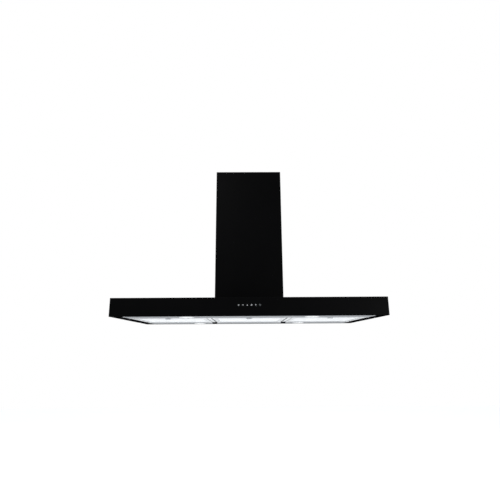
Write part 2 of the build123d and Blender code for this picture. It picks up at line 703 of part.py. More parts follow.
def impeller():
    """A centre plate with two rings of forward-curved blades and an end ring on either side."""
    count, length, gauge = 30, 48.0, 1.2
    axis = Plane(origin=(0, blower_y, blower_z), x_dir=(0, 1, 0), z_dir=(1, 0, 0))
    outline = make_face(Wire([
        ThreePointArc((blade_root, 0), (64.5, 1.4), (impeller_radius - 0.5, 5.5)),
        Line((impeller_radius - 0.5, 5.5), (impeller_radius - 0.5, 5.5 + gauge)),
        ThreePointArc((impeller_radius - 0.5, 5.5 + gauge), (64.3, 1.4 + gauge), (blade_root, gauge)),
        Line((blade_root, gauge), (blade_root, 0)),
    ]))
    blades = [Rot(0, 0, 360 / count * i) * outline for i in range(count)]
    wheel = extrude(Circle(impeller_radius), 1.25, both=True)
    wheel += extrude(Circle(12), 12, both=True)
    ring = Circle(impeller_radius) - Circle(blade_root - 1)
    for side in (-1, 1):
        wheel += [extrude(blade, side * length) for blade in blades]
        wheel += Pos(0, 0, side * length) * extrude(ring, side * 2.0)
    for i in range(6):
        spot = Rot(0, 0, 60 * i) * Pos(36, 0)
        wheel -= extrude(spot * Circle(9), 3, both=True)
    wheel -= extrude(Circle(shaft_radius), 20, both=True)
    return axis * wheel


def on_shaft(radius, x0, x1):
    return rod(radius, (x0, blower_y, blower_z), (x1, blower_y, blower_z))


def motor_shaft():
    return chamfer(on_shaft(shaft_radius, -16, 92).edges(), 0.6)


def motor_can():
    """Motor casing in two drawn cups that meet, with bored ends for the shaft."""
    can = on_shaft(42, 16, 84)
    can = fillet(can.edges(), 4.0)
    can += on_shaft(12, 13.5, 86.5)
    can -= on_shaft(39, 19, 81)
    can -= on_shaft(shaft_radius + 0.05, 10, 90)
    for i in range(8):
        turn = math.radians(45 * i)
        y, z = blower_y + 29 * math.cos(turn), blower_z + 29 * math.sin(turn)
        can -= rod(4.0, (10, y, z), (90, y, z))
    can += on_shaft(43.5, 49, 51) - on_shaft(40, 45, 55)
    return can


def stator():
    """Slotted iron core with its two copper end windings as separate rings."""
    core = on_shaft(39, 32, 68) - on_shaft(23, 30, 70)
    for i in range(12):
        turn = math.radians(30 * i)
        y, z = blower_y + 29 * math.cos(turn), blower_z + 29 * math.sin(turn)
        core -= rod(2.6, (30, y, z), (70, y, z))
    windings = []
    for ends in ((22.5, 32), (68, 77.5)):
        coil_end = on_shaft(36, *ends) - on_shaft(24.5, ends[0] - 1, ends[1] + 1)
        outer_end = ends[0] if ends[0] < 30 else ends[1]
        rim = [e for e in coil_end.edges() if abs(e.center().X - outer_end) < 0.1]
        windings.append(fillet(rim, 2.5))
    return [core] + windings


def rotor():
    body = on_shaft(22.4, 31, 69)
    body += on_shaft(20, 28, 72) - on_shaft(15, 27, 73)
    return body - on_shaft(shaft_radius, 20, 80)


def motor_spider():
    """Three arms from the motor's end to the inlet ring, each on a rubber bush."""
    start = scroll_half + 3
    spider = on_shaft(66, start + 4, start + 6) - on_shaft(60.5, start, start + 10)
    hub = on_shaft(46, start + 4, start + 6) - on_shaft(42.0, start, start + 10)
    spider += hub
    for i in range(3):
        turn = 90 + 120 * i
        arm = block((start + 4, start + 6), (43.5, 62), (-5, 5))
        spider += Pos(0, blower_y, blower_z) * Rot(turn, 0, 0) * arm
    pieces = [spider]
    for i in range(3):
        turn = math.radians(30 + 120 * i)
        y, z = blower_y + 62.5 * math.cos(turn), blower_z + 62.5 * math.sin(turn)
        pieces.append(rod(1.4, (start, y, z), (start + 4, y, z)))
    return pieces


def run_capacitor():
    """The motor's capacitor, with two tags, in a strap screwed to the motor box."""
    x, y, low = -100.0, 80.0, z_top + 180
    can = fillet(rod(15, (x, y, low), (x, y, low + 58)).edges(), 2.0)
    for tag in (x - 4, x + 4):
        can += block((tag - 0.5, tag + 0.5), (y - 3, y + 3), (low - 9, low + 1))
    span = (low + 24, low + 34)
    strap = rod(16, (x, y, span[0]), (x, y, span[1])) + block((x - 1, x + 15), (y + 14, y + 16), span)
    strap += block((x + 13, x + 15), (y + 14, box_y - 1), span)
    return [can, strap - rod(15, (x, y, low), (x, y, low + 58))]


# ---- write every node
write("ceiling_bracket", ceiling_bracket())
write("frame_upper", *frame_upper())
write("clamp_bolts", *clamp_bolts())
write("chimney_upper", chimney_upper())
write("chimney_screws", *chimney_screws())
write("frame_lower", frame_lower())
write("chimney_lower", chimney_lower())
write("canopy_shell", canopy_shell())
write("front_fascia", front_fascia())
write("side_rails", *side_rails())
write("lamp_panel_front", lamp_panel_front())
write("lamp_panel_rear", lamp_panel_rear())
write("divider_bars", *divider_bars())
write("filter_clips", *filter_clips())
write("panel_screws", *panel_screws())
write("lamp_bezels", *lamp_bezels())
write("lamp_lenses", *lamp_lenses())
write("lamp_bodies", *lamp_bodies())
write("key_carrier", key_carrier())
write("control_board", *control_board())
write("indicator_lens", indicator_lens())
write("key_springs", *key_springs())
write("power_box", *power_box())
write("power_board", power_board())
write("power_box_lid", power_box_lid())
write("cable_gland", cable_gland())
write("led_driver", led_driver())
write("wiring_harness", wiring_harness())
write("run_capacitor", *run_capacitor())
write("motor_box", *motor_box())
write("motor_box_cover", motor_box_cover())
write("scroll_left", scroll_half_shell(-1))
write("scroll_right", scroll_half_shell(1))
write("outlet_adapter", outlet_adapter())
write("duct_collar", duct_collar())
write("damper_flap_front", damper_flap(-1))
write("damper_flap_rear", damper_flap(1))
write("impeller", impeller())
write("motor_shaft", motor_shaft())
write("rotor", rotor())
write("motor_can", motor_can())
write("stator", *stator())
write("motor_spider", *motor_spider())
for name, place in zip(("power", "minus", "plus", "timer", "light"), range(key_count)):
    write(f"key_{name}", key(place))
for name, x in zip(("left", "centre", "right"), bay_centres):
    write(f"filter_frame_{name}", *filter_frame(x))
    write(f"baffle_core_{name}", baffle_core(x))
    write(f"filter_latch_{name}", filter_latch(x))
    write(f"latch_springs_{name}", *latch_springs(x))
print("nodes written:", len(os.listdir("parts")))
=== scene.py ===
import json
import math

import bmesh
import bpy
from mathutils import Matrix, Vector

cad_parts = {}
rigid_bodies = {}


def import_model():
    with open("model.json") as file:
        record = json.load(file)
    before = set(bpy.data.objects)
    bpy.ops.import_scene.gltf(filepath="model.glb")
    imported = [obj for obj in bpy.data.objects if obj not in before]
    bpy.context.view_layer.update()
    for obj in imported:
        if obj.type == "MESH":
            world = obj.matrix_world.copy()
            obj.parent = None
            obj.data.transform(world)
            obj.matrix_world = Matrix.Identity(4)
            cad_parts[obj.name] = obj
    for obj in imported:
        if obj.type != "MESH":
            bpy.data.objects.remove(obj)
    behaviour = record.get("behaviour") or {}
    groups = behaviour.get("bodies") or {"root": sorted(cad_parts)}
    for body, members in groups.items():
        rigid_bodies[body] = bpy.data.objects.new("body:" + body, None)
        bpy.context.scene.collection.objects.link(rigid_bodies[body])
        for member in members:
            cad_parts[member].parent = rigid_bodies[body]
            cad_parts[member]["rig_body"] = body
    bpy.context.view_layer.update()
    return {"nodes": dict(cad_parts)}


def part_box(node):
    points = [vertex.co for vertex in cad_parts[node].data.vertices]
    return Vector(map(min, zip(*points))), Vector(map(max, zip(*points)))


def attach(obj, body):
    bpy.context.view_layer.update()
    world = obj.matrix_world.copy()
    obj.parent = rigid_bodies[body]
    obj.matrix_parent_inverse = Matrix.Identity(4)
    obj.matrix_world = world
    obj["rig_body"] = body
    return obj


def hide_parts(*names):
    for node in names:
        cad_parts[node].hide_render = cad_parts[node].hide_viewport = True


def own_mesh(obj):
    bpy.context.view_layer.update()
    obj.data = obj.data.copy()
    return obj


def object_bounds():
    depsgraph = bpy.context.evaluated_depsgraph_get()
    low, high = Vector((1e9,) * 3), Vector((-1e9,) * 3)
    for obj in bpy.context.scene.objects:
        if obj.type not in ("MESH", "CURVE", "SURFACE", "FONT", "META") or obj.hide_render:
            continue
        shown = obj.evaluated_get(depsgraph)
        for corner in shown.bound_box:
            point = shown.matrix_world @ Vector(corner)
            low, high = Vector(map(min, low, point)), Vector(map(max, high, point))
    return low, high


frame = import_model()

mm = 0.001
fullTurn = 2 * math.pi
print("frame loaded,", len(frame["nodes"]), "nodes")


# small helpers for node trees

def addNode(tree, kind, inputs=None, **settings):
    node = tree.nodes.new(kind)
    for name, value in settings.items():
        setattr(node, name, value)
    for name, value in (inputs or {}).items():
        if isinstance(value, bpy.types.NodeSocket):
            tree.links.new(value, node.inputs[name])
        else:
            node.inputs[name].default_value = value
    return node


def newGroup(name, inputs, outputs):
    group = bpy.data.node_groups.new(name, "ShaderNodeTree")
    for label, value in inputs.items():
        kind = "NodeSocketVector" if label == "Vector" else "NodeSocketFloat"
        socket = group.interface.new_socket(label, in_out="INPUT", socket_type=kind)
        if value is not None:
            socket.default_value = value
    for label in outputs:
        group.interface.new_socket(label, in_out="OUTPUT", socket_type="NodeSocketFloat")
    given = group.nodes.new("NodeGroupInput").outputs
    return group, given, group.nodes.new("NodeGroupOutput").inputs


def maths(tree, operation, first, second=0.5, clamp=False):
    node = addNode(tree, "ShaderNodeMath", {0: first, 1: second}, operation=operation, use_clamp=clamp)
    return node.outputs[0]


def remap(tree, value, low, high, newLow=0.0, newHigh=1.0):
    levels = {"Value": value, "From Min": low, "From Max": high, "To Min": newLow, "To Max": newHigh}
    return addNode(tree, "ShaderNodeMapRange", levels).outputs[0]


# effects that several finishes share

def makeGrainGroup():
    # fine skin of a powder coat or a moulding, with slow patches under it
    group, given, result = newGroup("fineGrain", {"Vector": None, "Scale": 900.0, "Patch Scale": 9.0},
                                    ["Height", "Patches"])
    skin = addNode(group, "ShaderNodeTexNoise",
                   {"Vector": given["Vector"], "Scale": given["Scale"], "Detail": 2.0})
    patch = addNode(group, "ShaderNodeTexNoise",
                    {"Vector": given["Vector"], "Scale": given["Patch Scale"], "Detail": 4.0,
                     "Roughness": 0.55})
    group.links.new(skin.outputs["Fac"], result["Height"])
    group.links.new(remap(group, patch.outputs["Fac"], 0.3, 0.7), result["Patches"])
    return group


def makeBrushGroup():
    # long fine scratches; the direction comes from how the given vector is stretched
    group, given, result = newGroup("brushMarks", {"Vector": None, "Fineness": 1.0}, ["Height", "Streaks"])
    fine = addNode(group, "ShaderNodeTexNoise",
                   {"Vector": given["Vector"], "Scale": given["Fineness"], "Detail": 5.0, "Roughness": 0.7})
    wide = addNode(group, "ShaderNodeTexNoise", {"Vector": given["Vector"], "Detail": 2.0,
                                                 "Scale": maths(group, "MULTIPLY", given["Fineness"], 0.16)})
    both = maths(group, "ADD", maths(group, "MULTIPLY", fine.outputs["Fac"], 0.6),
                 maths(group, "MULTIPLY", wide.outputs["Fac"], 0.4))
    group.links.new(fine.outputs["Fac"], result["Height"])
    group.links.new(remap(group, both, 0.35, 0.65), result["Streaks"])
    return group


def makeWearGroup():
    # finds edges by comparing the rounded normal with the true one, and breaks them up
    group, given, result = newGroup("edgeWear", {"Vector": None, "Radius": 0.0012, "Amount": 1.0}, ["Edge"])
    rounded = addNode(group, "ShaderNodeBevel", {"Radius": given["Radius"]}, samples=4)
    plain = addNode(group, "ShaderNodeNewGeometry")
    same = addNode(group, "ShaderNodeVectorMath",
                   {0: rounded.outputs["Normal"], 1: plain.outputs["True Normal"]}, operation="DOT_PRODUCT")
    edge = remap(group, same.outputs["Value"], 0.995, 0.86)
    breakUp = addNode(group, "ShaderNodeTexNoise", {"Vector": given["Vector"], "Scale": 160.0, "Detail": 3.0})
    mask = maths(group, "MULTIPLY", edge, remap(group, breakUp.outputs["Fac"], 0.42, 0.62))
    group.links.new(maths(group, "MULTIPLY", mask, given["Amount"], clamp=True), result["Edge"])
    return group


def makeDustGroup():
    # dust that lies on faces that look up
    group, given, result = newGroup("settledDust", {"Vector": None, "Amount": 0.5}, ["Dust"])
    face = addNode(group, "ShaderNodeNewGeometry")
    split = addNode(group, "ShaderNodeSeparateXYZ", {"Vector": face.outputs["Normal"]})
    cloud = addNode(group, "ShaderNodeTexNoise",
                    {"Vector": given["Vector"], "Scale": 24.0, "Detail": 6.0, "Roughness": 0.7})
    up = remap(group, split.outputs["Z"], 0.55, 0.95)
    mask = maths(group, "MULTIPLY", up, remap(group, cloud.outputs["Fac"], 0.25, 0.8))
    group.links.new(maths(group, "MULTIPLY", mask, given["Amount"], clamp=True), result["Dust"])
    return group


def makeSpangleGroup():
    # crystal patches of hot-dip zinc
    group, given, result = newGroup("zincSpangle", {"Vector": None, "Scale": 70.0}, ["Shade", "Facet"])
    cells = addNode(group, "ShaderNodeTexVoronoi", {"Vector": given["Vector"], "Scale": given["Scale"]})
    haze = addNode(group, "ShaderNodeTexNoise", {"Vector": given["Vector"], "Scale": 14.0, "Detail": 5.0})
    cellShade = addNode(group, "ShaderNodeSeparateColor", {"Color": cells.outputs["Color"]})
    mixed = maths(group, "ADD", maths(group, "MULTIPLY", cellShade.outputs["Red"], 0.6),
                  maths(group, "MULTIPLY", haze.outputs["Fac"], 0.4))
    group.links.new(mixed, result["Shade"])
    group.links.new(cellShade.outputs["Green"], result["Facet"])
    return group


grainGroup = makeGrainGroup()
brushGroup = makeBrushGroup()
wearGroup = makeWearGroup()
dustGroup = makeDustGroup()
spangleGroup = makeSpangleGroup()


def place(tree, group, vector, values=None):
    node = addNode(tree, "ShaderNodeGroup", node_tree=group)
    tree.links.new(vector, node.inputs["Vector"])
    for name, value in (values or {}).items():
        node.inputs[name].default_value = value
    return node.outputs


def startMaterial(name, colour, roughness, metallic=0.0, **shine):
    material = bpy.data.materials.new(name)
    material.use_nodes = True
    tree = material.node_tree
    shader = tree.nodes["Principled BSDF"]
    shader.inputs["Base Color"].default_value = (*colour, 1.0)
    shader.inputs["Roughness"].default_value = roughness
    shader.inputs["Metallic"].default_value = metallic
    for label, value in shine.items():
        shader.inputs[label.replace("_", " ")].default_value = value
    material.diffuse_color = (*colour, 1.0)
    return material, tree, shader, addNode(tree, "ShaderNodeTexCoord").outputs["Object"]


def tint(tree, shader, factor, first, second):
    mix = addNode(tree, "ShaderNodeMix", data_type="RGBA")
    tree.links.new(factor, mix.inputs[0])
    for index, colour in ((6, first), (7, second)):
        if isinstance(colour, bpy.types.NodeSocket):
            tree.links.new(colour, mix.inputs[index])
        else:
            mix.inputs[index].default_value = (*colour, 1.0)
    tree.links.new(mix.outputs[2], shader.inputs["Base Color"])
    return mix.outputs[2]


def roughen(tree, shader, factor, low, high):
    tree.links.new(remap(tree, factor, 0.0, 1.0, low, high), shader.inputs["Roughness"])


def emboss(tree, shader, height, distance, strength=1.0):
    bump = addNode(tree, "ShaderNodeBump", {"Height": height, "Distance": distance, "Strength": strength})
    tree.links.new(bump.outputs["Normal"], shader.inputs["Normal"])


def shaded(colour, factor):
    return tuple(min(1.0, c * factor) for c in colour)


# finishes

def makePaint(name, colour, gloss, edgeColour, dustColour, specular):
    # powder coat: two-tone patches, paler edges, dust on what looks up
    material, tree, shader, vector = startMaterial(name, colour, gloss[0], Specular_IOR_Level=specular)
    grain = place(tree, grainGroup, vector, {"Scale": 1100.0, "Patch Scale": 6.0})
    edge = place(tree, wearGroup, vector, {"Radius": 0.0014, "Amount": 0.8})["Edge"]
    dust = place(tree, dustGroup, vector, {"Amount": 0.55})["Dust"]
    base = tint(tree, shader, grain["Patches"], colour, shaded(colour, 1.25))
    worn = tint(tree, shader, edge, base, edgeColour)
    tint(tree, shader, dust, worn, dustColour)
    spread = maths(tree, "ADD", maths(tree, "MULTIPLY", grain["Patches"], 0.6), dust, clamp=True)
    roughen(tree, shader, spread, *gloss)
    emboss(tree, shader, grain["Height"], 0.00008, 0.6)
    return material


def makeBrushed(name, colour, gloss, edgeTint=(1, 1, 1)):
    # brushed side to side, so the scratches are long in X
    material, tree, shader, vector = startMaterial(name, colour, gloss[0], 1.0, Specular_Tint=(*edgeTint, 1.0))
    turned = addNode(tree, "ShaderNodeMapping", {"Vector": vector, "Scale": (6.0, 520.0, 520.0)})
    marks = place(tree, brushGroup, turned.outputs["Vector"], {"Fineness": 1.0})
    film = place(tree, grainGroup, vector, {"Scale": 420.0, "Patch Scale": 7.0})
    edge = place(tree, wearGroup, vector, {"Radius": 0.001, "Amount": 0.6})["Edge"]
    base = tint(tree, shader, marks["Streaks"], shaded(colour, 0.86), shaded(colour, 1.1))
    tint(tree, shader, edge, base, shaded(colour, 1.25))
    spread = maths(tree, "ADD", maths(tree, "MULTIPLY", marks["Streaks"], 0.55),
                   maths(tree, "MULTIPLY", film["Patches"], 0.45))
    roughen(tree, shader, spread, *gloss)
    emboss(tree, shader, marks["Height"], 0.00004, 0.5)
    return material


def makeZinc(name, colour, gloss, scale):
    # hot-dip zinc with spangle, brighter edges and grey dust
    material, tree, shader, vector = startMaterial(name, colour, gloss[0], 0.92)
    spangle = place(tree, spangleGroup, vector, {"Scale": scale})
    edge = place(tree, wearGroup, vector, {"Radius": 0.001, "Amount": 0.7})["Edge"]
    dust = place(tree, dustGroup, vector, {"Amount": 0.4})["Dust"]
    base = tint(tree, shader, spangle["Shade"], shaded(colour, 0.78), shaded(colour, 1.2))
    bright = tint(tree, shader, edge, base, shaded(colour, 1.4))
    tint(tree, shader, dust, bright, (0.33, 0.32, 0.3))
    roughen(tree, shader, spangle["Facet"], *gloss)
    emboss(tree, shader, spangle["Shade"], 0.00003, 0.5)
    return material


def makeMoulded(name, colour, gloss, grainScale=700.0, depth=0.00006, **shine):
    # moulded plastic or rubber with a fine skin
    material, tree, shader, vector = startMaterial(name, colour, gloss[0], **shine)
    grain = place(tree, grainGroup, vector, {"Scale": grainScale, "Patch Scale": 16.0})
    edge = place(tree, wearGroup, vector, {"Radius": 0.0008, "Amount": 0.5})["Edge"]
    base = tint(tree, shader, grain["Patches"], shaded(colour, 0.88), shaded(colour, 1.14))
    tint(tree, shader, edge, base, tuple(0.6 * c + 0.06 for c in colour))
    roughen(tree, shader, grain["Patches"], *gloss)
    emboss(tree, shader, grain["Height"], depth, 0.7)
    return material


def makePlated(name, colour, gloss):
    # plain bare metal with faint clouds
    material, tree, shader, vector = startMaterial(name, colour, gloss[0], 1.0)
    grain = place(tree, grainGroup, vector, {"Scale": 1500.0, "Patch Scale": 60.0})
    edge = place(tree, wearGroup, vector, {"Radius": 0.0005, "Amount": 0.6})["Edge"]
    base = tint(tree, shader, grain["Patches"], shaded(colour, 0.84), shaded(colour, 1.12))
    tint(tree, shader, edge, base, shaded(colour, 1.3))
    roughen(tree, shader, grain["Patches"], *gloss)
    emboss(tree, shader, grain["Height"], 0.00002, 0.5)
    return material


def makeWound(name, centreX, halfStack, colours):
    # laminated iron in the middle, enamelled wire past it
    material, tree, shader, vector = startMaterial(name, colours["wire"], 0.35, 0.6)
    moved = addNode(tree, "ShaderNodeMapping", {"Vector": vector, "Location": (-centreX, 0.0, 0.0)})
    split = addNode(tree, "ShaderNodeSeparateXYZ", {"Vector": moved.outputs["Vector"]})
    outside = maths(tree, "GREATER_THAN", maths(tree, "ABSOLUTE", split.outputs["X"]), halfStack)
    sheets = addNode(tree, "ShaderNodeTexWave", {"Vector": moved.outputs["Vector"], "Scale": 320.0},
                     bands_direction="X")
    turns = addNode(tree, "ShaderNodeTexNoise",
                    {"Vector": moved.outputs["Vector"], "Scale": 420.0, "Detail": 2.0})
    iron = addNode(tree, "ShaderNodeMix", {0: sheets.outputs["Fac"]}, data_type="RGBA")
    wire = addNode(tree, "ShaderNodeMix", {0: turns.outputs["Fac"]}, data_type="RGBA")
    for mix, colour in ((iron, colours["iron"]), (wire, colours["wire"])):
        mix.inputs[6].default_value = (*shaded(colour, 0.6), 1.0)
        mix.inputs[7].default_value = (*shaded(colour, 1.3), 1.0)
    tint(tree, shader, outside, iron.outputs[2], wire.outputs[2])
    roughen(tree, shader, turns.outputs["Fac"], 0.28, 0.5)
    emboss(tree, shader, sheets.outputs["Fac"], 0.0001, 0.6)
    return material


def makeBoard(name, colour):
    # solder mask over copper tracks
    material, tree, shader, vector = startMaterial(name, colour, 0.35)
    upright = addNode(tree, "ShaderNodeMapping", {"Vector": vector, "Rotation": (math.radians(90), 0.0, 0.0)})
    tracks = addNode(tree, "ShaderNodeTexBrick",
                     {"Vector": upright.outputs["Vector"], "Scale": 55.0, "Mortar Size": 0.02,
                      "Brick Width": 0.5, "Row Height": 0.18})
    speck = addNode(tree, "ShaderNodeTexNoise", {"Vector": vector, "Scale": 240.0, "Detail": 3.0})
    base = tint(tree, shader, tracks.outputs["Fac"], colour, shaded(colour, 2.2))
    tint(tree, shader, remap(tree, speck.outputs["Fac"], 0.62, 0.75), base, shaded(colour, 0.6))
    roughen(tree, shader, speck.outputs["Fac"], 0.28, 0.45)
    emboss(tree, shader, tracks.outputs["Fac"], 0.00004, 0.6)
    return material


def makeFrosted(name, colour):
    # pressed diffuser: milky, with fine ripples
    material, tree, shader, vector = startMaterial(name, colour, 0.35, Transmission_Weight=0.35, IOR=1.45)
    ripple = place(tree, grainGroup, vector, {"Scale": 520.0, "Patch Scale": 30.0})
    tint(tree, shader, ripple["Patches"], shaded(colour, 0.94), colour)
    roughen(tree, shader, ripple["Patches"], 0.3, 0.48)
    emboss(tree, shader, ripple["Height"], 0.00012, 0.6)
    return material


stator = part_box("stator")
finish = {
    "blackPaint": makePaint("blackPaint", (0.0008, 0.0008, 0.0009), (0.34, 0.5), (0.005, 0.005, 0.0055),
                            (0.006, 0.0058, 0.0055), 0.02),
    "mattePaint": makePaint("mattePaint", (0.001, 0.001, 0.0012), (0.8, 0.95), (0.004, 0.004, 0.0045),
                            (0.006, 0.0058, 0.0055), 0.0),
    # the lamp panels' steel is the filters' brushed stainless made darker, with a darker edge tint: painted
    # shade for the grey bands in front of and behind the filters
    "panelSteelPaintedShade": makeBrushed("panelSteelPaintedShade", (0.36, 0.37, 0.38), (0.3, 0.46), (0.5, 0.51, 0.53)),
    "baffleSteel": makeBrushed("baffleSteel", (0.66, 0.675, 0.69), (0.24, 0.42)),
    "frameSteel": makeBrushed("frameSteel", (0.6, 0.615, 0.63), (0.24, 0.4)),
    "backCoat": makePaint("backCoat", (0.05, 0.052, 0.055), (0.45, 0.6), (0.09, 0.09, 0.09),
                          (0.09, 0.088, 0.082), 0.3),
    "polishedSteel": makePlated("polishedSteel", (0.74, 0.75, 0.76), (0.08, 0.18)),
    "galvanised": makeZinc("galvanised", (0.44, 0.46, 0.48), (0.32, 0.55), 75.0),
    "zincPlate": makePlated("zincPlate", (0.56, 0.57, 0.57), (0.22, 0.38)),
    "springWire": makePlated("springWire", (0.33, 0.33, 0.34), (0.22, 0.34)),
    "castAluminium": makePlated("castAluminium", (0.52, 0.53, 0.55), (0.42, 0.6)),
    "motorSteel": makePlated("motorSteel", (0.3, 0.31, 0.33), (0.3, 0.45)),
    "blackNylon": makeMoulded("blackNylon", (0.004, 0.004, 0.0045), (0.5, 0.66), Specular_IOR_Level=0.02),
    "keyCap": makeMoulded("keyCap", (0.002, 0.002, 0.0022), (0.2, 0.34), 1600.0, 0.00002,
                          Specular_IOR_Level=0.06),
    "smokedPlastic": makeMoulded("smokedPlastic", (0.02, 0.023, 0.026), (0.12, 0.2), 1500.0, 0.00002),
    "iconPrint": makeMoulded("iconPrint", (0.46, 0.47, 0.48), (0.45, 0.6), 1300.0, 0.00002),
    "blowerPlastic": makeMoulded("blowerPlastic", (0.05, 0.052, 0.055), (0.42, 0.58)),
    "wheelPlastic": makeMoulded("wheelPlastic", (0.22, 0.23, 0.24), (0.4, 0.55)),
    "flapPlastic": makeMoulded("flapPlastic", (0.52, 0.52, 0.5), (0.38, 0.52)),
    "whitePlastic": makeMoulded("whitePlastic", (0.72, 0.72, 0.69), (0.35, 0.5)),
    "capacitorPlastic": makeMoulded("capacitorPlastic", (0.7, 0.71, 0.7), (0.18, 0.3), 1200.0, 0.00002),
    "rubber": makeMoulded("rubber", (0.008, 0.008, 0.008), (0.7, 0.85), 1000.0, 0.0001,
                          Specular_IOR_Level=0.3),
    "cableSheath": makeMoulded("cableSheath", (0.03, 0.03, 0.032), (0.4, 0.55), 1200.0, 0.00003),
    "frostedGlass": makeFrosted("frostedGlass", (0.9, 0.91, 0.9)),
    "circuitBoard": makeBoard("circuitBoard", (0.02, 0.11, 0.045)),
    "windings": makeWound("windings", (stator[0].x + stator[1].x) / 2, 18.2 * mm,
                          {"iron": (0.2, 0.2, 0.21), "wire": (0.5, 0.17, 0.06)}),
}
print("finishes made:", len(finish))


# small helpers for meshes

def bevelEdges(bm, edges, width, steps=2):
    bmesh.ops.bevel(bm, geom=list(edges), offset=width, offset_type="OFFSET", segments=steps,
                    profile=0.5, affect="EDGES", clamp_overlap=True, material=-1)


def addBox(bm, low, high, rounding=0.0, steps=2):
    verts = bmesh.ops.create_cube(bm, size=1.0)["verts"]
    low, high = Vector(low), Vector(high)
    bmesh.ops.scale(bm, vec=high - low, verts=verts)
    bmesh.ops.translate(bm, vec=(high + low) / 2, verts=verts)
    if rounding:
        bevelEdges(bm, {edge for vert in verts for edge in vert.link_edges}, rounding, steps)


def standAlong(centre, axis):
    turn = Vector(axis).to_track_quat("Z", "Y").to_matrix().to_4x4()
    return Matrix.Translation(Vector(centre)) @ turn


def addRod(bm, start, end, radius, sides, rounding):
    along = end - start
    verts = bmesh.ops.create_cone(bm, cap_ends=True, segments=sides, radius1=radius, radius2=radius,
                                  depth=along.length, matrix=standAlong((start + end) / 2, along))["verts"]
    rims = {edge for vert in verts for edge in vert.link_edges}
    rims = [edge for edge in rims
            if abs((edge.verts[0].co - edge.verts[1].co).dot(along.normalized())) < 0.1 * radius]
    bevelEdges(bm, rims, rounding)


def addSpun(bm, outline, centre, axis, sides, closed=False):
    # outline is (radius, height) pairs above the centre, turned once round the axis
    stand = standAlong(centre, axis)
    verts = [bm.verts.new(stand @ Vector((radius, 0, height))) for radius, height in outline]
    edges = [bm.edges.new(pair) for pair in zip(verts, verts[1:])]
    if closed:
        edges.append(bm.edges.new((verts[-1], verts[0])))
    bmesh.ops.spin(bm, geom=verts + edges, cent=Vector(centre), axis=Vector(axis), angle=fullTurn,
                   steps=sides, use_merge=True)


sharpAngle = 35.0  # degrees between faces, past which an edge is shaded sharp
softEdge = {"steps": 2, "pastAngle": 40.0}


def makePiece(name, bm, material, body, replaced=(), recalc=True):
    bmesh.ops.remove_doubles(bm, verts=bm.verts, dist=1e-6)
    if recalc:
        bmesh.ops.recalc_face_normals(bm, faces=bm.faces)
    for face in bm.faces:
        face.smooth = True
    for edge in bm.edges:
        edge.smooth = len(edge.link_faces) == 2 and edge.calc_face_angle(0.0) < math.radians(sharpAngle)
    mesh = bpy.data.meshes.new(name)
    bm.to_mesh(mesh)
    bm.free()
    piece = bpy.data.objects.new(name, mesh)
    bpy.context.scene.collection.objects.link(piece)
    mesh.materials.append(finish[material])
    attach(piece, body)
    if replaced:
        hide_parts(*replaced)
    return piece


def softenEdges(piece, width):
    bevel = piece.modifiers.new("softEdges", "BEVEL")
    bevel.width = width
    bevel.segments = softEdge["steps"]
    bevel.limit_method = "ANGLE"
    bevel.angle_limit = math.radians(softEdge["pastAngle"])
    bevel.harden_normals = True


def inMetres(outline):
    return [(radius * mm, height * mm) for radius, height in outline]


def refinedCopy(node, material, rounding):
    # a merged, smooth-shaded copy of a node, with softened edges if asked
    bm = bmesh.new()
    bm.from_mesh(frame["nodes"][node].data)
    bmesh.ops.remove_doubles(bm, verts=bm.verts, dist=2e-6)
    bmesh.ops.dissolve_limit(bm, angle_limit=math.radians(0.6), verts=bm.verts, edges=bm.edges)
    piece = makePiece(node + ".finished", bm, material, frame["nodes"][node]["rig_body"], [node],
                      recalc=False)
    if rounding:
        softenEdges(piece, rounding)
    return piece


# sheet metal and castings that keep their shape, with smooth bends and soft edges

smoothNodes = {
    "canopy_shell": ("blackPaint", 0.25 * mm), "front_fascia": ("blackPaint", 0.25 * mm),
    "chimney_lower": ("blackPaint", 0.25 * mm), "chimney_upper": ("blackPaint", 0.25 * mm),
    "ceiling_bracket": ("galvanised", 0.25 * mm), "side_rails": ("mattePaint", 0.2 * mm),
    # the lamp panels take the darkened steel, a painted shade
    "lamp_panel_front": ("panelSteelPaintedShade", 0.2 * mm), "lamp_panel_rear": ("panelSteelPaintedShade", 0.2 * mm),
    "divider_bars": ("frameSteel", 0.2 * mm), "filter_clips": ("blackNylon", 0.3 * mm),
    "panel_screws": ("zincPlate", 0.0), "chimney_screws": ("zincPlate", 0.0),
    "clamp_bolts": ("zincPlate", 0.0), "power_board": ("circuitBoard", 0.0),
    "frame_upper": ("galvanised", 0.3 * mm), "frame_lower": ("galvanised", 0.3 * mm),
    "motor_box": ("galvanised", 0.2 * mm), "motor_box_cover": ("galvanised", 0.2 * mm),
    "scroll_left": ("blowerPlastic", 0.3 * mm), "scroll_right": ("blowerPlastic", 0.3 * mm),
    "outlet_adapter": ("blowerPlastic", 0.0), "duct_collar": ("blowerPlastic", 0.3 * mm),
    "damper_flap_front": ("flapPlastic", 0.15 * mm), "damper_flap_rear": ("flapPlastic", 0.15 * mm),
    "impeller": ("wheelPlastic", 0.0), "motor_shaft": ("zincPlate", 0.0),
    "rotor": ("castAluminium", 0.2 * mm), "motor_can": ("motorSteel", 0.3 * mm),
    "stator": ("windings", 0.0), "motor_spider": ("galvanised", 0.2 * mm),
    "lamp_bodies": ("castAluminium", 0.3 * mm), "key_carrier": ("blackNylon", 0.2 * mm),
    "power_box": ("blackNylon", 0.3 * mm), "power_box_lid": ("blackNylon", 0.3 * mm),
    "cable_gland": ("blackNylon", 0.3 * mm), "led_driver": ("whitePlastic", 0.4 * mm),
    "wiring_harness": ("cableSheath", 0.0), "run_capacitor": ("capacitorPlastic", 0.0),
    "control_board": ("circuitBoard", 0.0),
}
filterSides = ("left", "centre", "right")
for side in filterSides:
    smoothNodes["filter_frame_" + side] = ("frameSteel", 0.3 * mm)
    smoothNodes["baffle_core_" + side] = ("baffleSteel", 0.0)
    smoothNodes["filter_latch_" + side] = ("frameSteel", 0.3 * mm)
